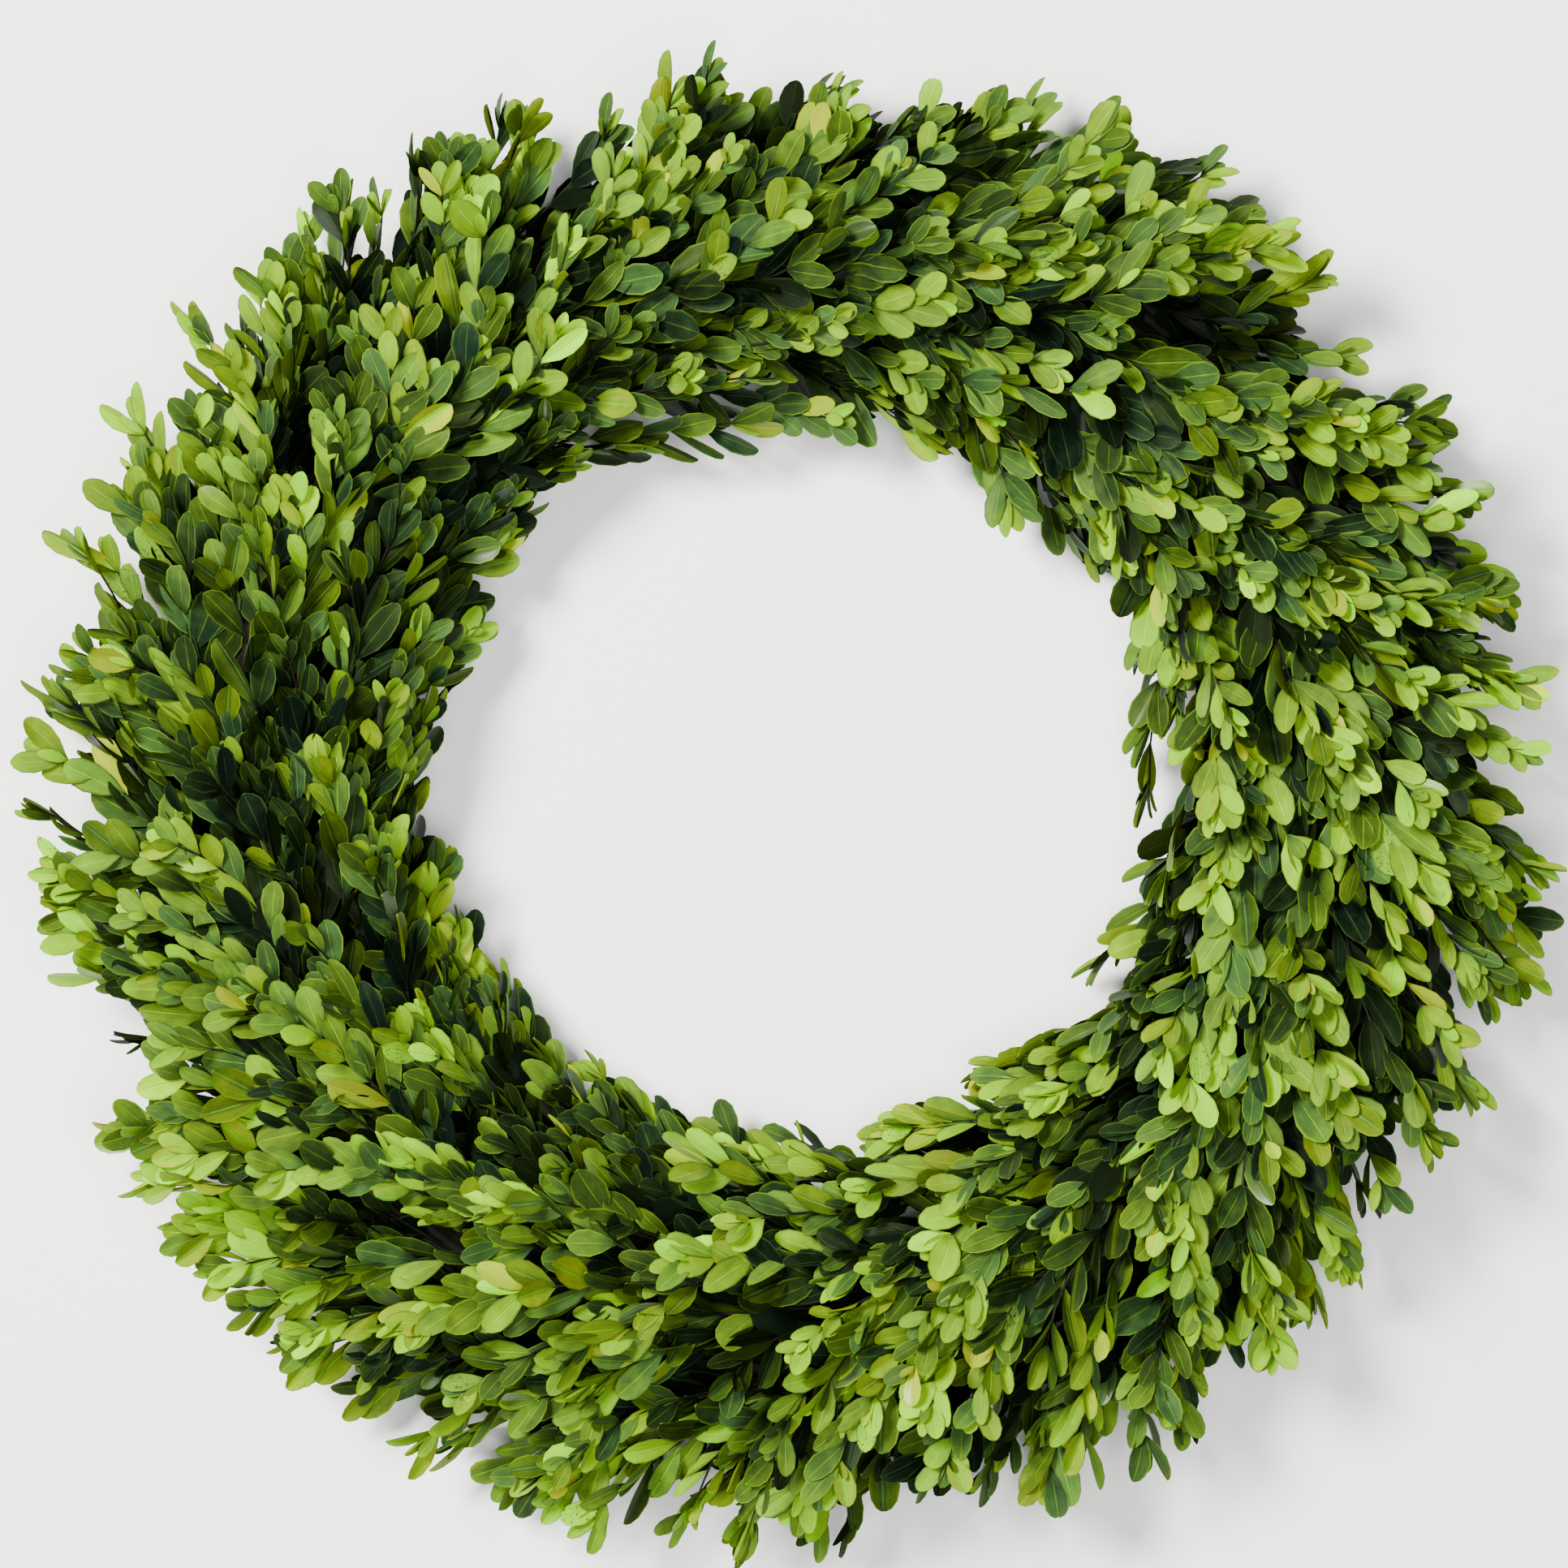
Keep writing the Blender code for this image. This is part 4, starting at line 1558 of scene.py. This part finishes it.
@dataclass(frozen=True)
class WireRing:
    """The welded ring of steel wire: two rails on cross bars. A wire's size is its radius."""

    ring_radius: float = RING_RADIUS
    rail_wire: float = 1.6 * MM
    rail_apart: float = 18.6 * MM
    rail_height: float = 3.598 * MM
    rail_steps: int = 144
    wire_sides: int = 12
    bar_count: int = 6
    bar_place: float = 0.17
    bar_wire: float = 1.5 * MM
    bar_slimmer: float = 0.87
    bar_length: float = 26 * MM
    bar_rounding: float = 0.5 * MM
    finish: WireFinish = WireFinish("ring_lacquer", (0.012, 0.018, 0.012))

    def build(self) -> bpy.types.Object:
        """Builds the ring, which takes its frame node's place.

        Returns:
            The ring.
        """
        rails = [self.rail(self.ring_radius + side * self.rail_apart / 2) for side in (-1, 1)]
        turns = [(i + self.bar_place) * TAU / self.bar_count for i in range(self.bar_count)]
        ring = Bench.join(*rails, *(self.bar(turn) for turn in turns))
        bpy.ops.object.transform_apply(location=True, rotation=True, scale=True)
        Bench.smooth(degrees=40)
        ring.name = ring.data.name = "wire_ring"
        ring.data.materials.clear()
        ring.data.materials.append(self.finish.make())
        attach(ring, "root")
        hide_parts("ring_frame")
        return ring

    def rail(self, radius: float) -> bpy.types.Object:
        """Models one rail.

        Args:
            radius: the radius that it runs at.

        Returns:
            The rail.
        """
        bpy.ops.mesh.primitive_torus_add(
            major_segments=self.rail_steps,
            minor_segments=self.wire_sides,
            major_radius=radius,
            minor_radius=self.rail_wire,
            location=(0, 0, self.rail_height),
        )
        return bpy.context.object

    def bar(self, angle: float) -> bpy.types.Object:
        """Models one cross bar, with rounded ends.

        Args:
            angle: its angle round the ring.

        Returns:
            The bar.
        """
        middle = ring_point(angle, self.ring_radius, self.bar_wire * math.cos(math.pi / 6))
        bpy.ops.mesh.primitive_cylinder_add(
            vertices=self.wire_sides,
            radius=self.bar_wire * self.bar_slimmer,
            depth=self.bar_length,
            location=tuple(middle),
            rotation=(0, math.pi / 2, -angle),
        )
        bar = bpy.context.object
        bevel = bar.modifiers.new("ends", "BEVEL")
        bevel.width = self.bar_rounding
        bevel.segments = 2
        bevel.limit_method = "ANGLE"
        bevel.angle_limit = math.radians(60)
        bpy.ops.object.modifier_apply(modifier=bevel.name)
        return bar


@dataclass(frozen=True)
class BindingWire:
    """The florist's wire that is wound round the ring and the bundles, one turn at each station."""

    bundles: Bundles
    wire: float = 0.5 * MM
    reach: float = 0.9 * MM
    low_height: float = 1.2 * MM
    low_half: float = 12.4 * MM
    low_inset: float = 3 * MM
    high_inset: float = 2.5 * MM
    side_half: float = 8 * MM
    top_half: float = 11 * MM
    top_drop: float = 6 * MM
    points_a_turn: int = 28
    finish: WireFinish = WireFinish("binding_lacquer", (0.010, 0.040, 0.012))

    def build(self) -> bpy.types.Object:
        """Builds the wire, which takes its frame node's place.

        Returns:
            The wire.
        """
        curve = bpy.data.curves.new("binding", "CURVE")
        curve.dimensions = "3D"
        curve.bevel_depth = self.wire
        curve.bevel_resolution = 2
        curve.use_fill_caps = True
        spline = curve.splines.new("POLY")
        points = self.points()
        spline.points.add(len(points) - 1)
        for point, place in zip(spline.points, points):
            point.co = (*place, 1)
        wire = bpy.data.objects.new("florist_wire", curve)
        bpy.context.scene.collection.objects.link(wire)
        Bench.select(wire)
        bpy.ops.object.convert(target="MESH")
        wire = bpy.context.object
        Bench.edit(wire, "SELECT")
        bpy.ops.mesh.remove_doubles(threshold=0.01 * MM)
        bpy.ops.mesh.normals_make_consistent(inside=False)
        Bench.done()
        Bench.smooth(degrees=50)
        wire.data.materials.clear()
        wire.data.materials.append(self.finish.make())
        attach(wire, "root")
        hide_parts("binding_wire")
        return wire

    def loop(self) -> np.ndarray:
        """Gives the corners of one turn, from low inside over the front to low outside.

        Returns:
            The corners, each as (outward from the ring's middle line, height).
        """
        low_radius, side_height = self.bundles.middle(Bundle.OUTER)
        _, top_height = self.bundles.middle(Bundle.FRONT)
        side = low_radius - self.bundles.ring_radius + self.bundles.core_radius + self.reach
        top = top_height + self.bundles.core_radius + self.reach
        half = [
            (self.low_half, self.low_height),
            (side - self.low_inset, side_height - self.side_half),
            (side, side_height),
            (side - self.high_inset, side_height + self.side_half),
            (self.top_half, top - self.top_drop),
        ]
        return np.array([*((-outward, height) for outward, height in half), (0, top), *reversed(half)])

    def points(self) -> list[np.ndarray]:
        """Gives the wire's points: a rounded loop round the section, carried on round the ring.

        Returns:
            The points.
        """
        corners = self.loop()
        share = np.linspace(0, 1, len(corners), endpoint=False)
        outwards, heights = ([*column, column[0]] for column in corners.T)
        points = []
        for station in range(STATIONS):
            for place in np.linspace(0, 1, self.points_a_turn, endpoint=False):
                if station == STATIONS - 1 and place > share[-1]:
                    break
                outward, height = (np.interp(place, [*share, 1], values) for values in (outwards, heights))
                angle = (station + place) * STATION_TURN
                points.append(ring_point(angle, self.bundles.ring_radius + outward, height))
        return points


@dataclass(frozen=True)
class Lamp:
    """A soft square light that faces the wreath."""

    name: str
    place: Point
    size: float
    power: float
    colour: Colour

    def hang(self) -> None:
        """Hangs the light."""
        lamp = bpy.data.lights.new(self.name, "AREA")
        lamp.shape = "SQUARE"
        lamp.size = self.size
        lamp.energy = self.power
        lamp.color = self.colour
        obj = bpy.data.objects.new(self.name, lamp)
        obj.location = self.place
        obj.rotation_euler = (-Vector(self.place)).to_track_quat("-Z", "Y").to_euler()
        bpy.context.scene.collection.objects.link(obj)


@dataclass(frozen=True)
class Studio:
    """The pale floor, the soft lights and the camera that looks straight down."""

    lamps: tuple[Lamp, ...] = (
        Lamp("key", place=(-1.2, 0.8, 2.4), size=0.8, power=275, colour=(1.0, 0.99, 0.96)),
        Lamp("top", place=(0.3, -0.4, 3.0), size=1.2, power=118, colour=(1.0, 1.0, 1.0)),
    )
    sky_colour: Colour = (1.0, 1.0, 0.99)
    sky_strength: float = 0.12
    floor_size: float = 8.0
    floor_height: float = -0.3 * MM
    camera_height: float = 2.6
    middle_height: float = 0.055
    furthest_seen: float = 20.0

    def build(self) -> None:
        """Sets up the studio."""
        self.floor()
        for lamp in self.lamps:
            lamp.hang()
        world = bpy.context.scene.world or bpy.data.worlds.new("studio")
        bpy.context.scene.world = world
        world.use_nodes = True
        background = world.node_tree.nodes["Background"]
        background.inputs["Color"].default_value = (*self.sky_colour, 1)
        background.inputs["Strength"].default_value = self.sky_strength
        self.camera()

    def floor(self) -> None:
        """Lays the floor just under the cross bars."""
        bpy.ops.mesh.primitive_plane_add(size=self.floor_size, location=(0, 0, self.floor_height))
        floor = bpy.context.object
        floor.name = "floor"
        floor.data.materials.append(FloorFinish().make())

    def camera(self) -> None:
        """Hangs the camera over the wreath, with the hole where the photo has it."""
        half = PHOTO_PIXELS / 2
        lens = bpy.data.cameras.new("camera")
        width = PHOTO_PIXELS * MM_PER_PIXEL * MM
        lens.angle = 2 * math.atan(width / 2 / (self.camera_height - self.middle_height))
        lens.clip_end = self.furthest_seen
        obj = bpy.data.objects.new("camera", lens)
        obj.location = (
            -(HOLE_X - half) * MM_PER_PIXEL * MM,
            (HOLE_Y - half) * MM_PER_PIXEL * MM,
            self.camera_height,
        )
        bpy.context.scene.collection.objects.link(obj)
        bpy.context.scene.camera = obj


def triangles_of(piece: bpy.types.Object) -> int:
    """Counts a piece's triangles."""
    return len(piece.data.loops) - 2 * len(piece.data.polygons)


def main() -> None:
    """Builds the wreath and the studio."""
    logging.basicConfig(level=logging.INFO, format="%(message)s")
    bundles = Bundles()
    sprigs = SprigPlanner(Section(), bundles, seed=11).plan()
    maker = BunchMaker(bundles, seed=12)
    pieces = []
    for bundle in Bundle:
        for station in range(STATIONS):
            own = [sprig for sprig in sprigs if (sprig.bundle, sprig.station) == (bundle, station)]
            pieces.append(maker.build(bundle, station, own))
    pieces += [WireRing().build(), BindingWire(bundles).build()]
    for piece in pieces:
        LOG.info("%s: %d triangles", piece.name, triangles_of(piece))
    LOG.info("%d triangles in all", sum(triangles_of(piece) for piece in pieces))
    Studio().build()


if __name__ == "__main__":
    main()
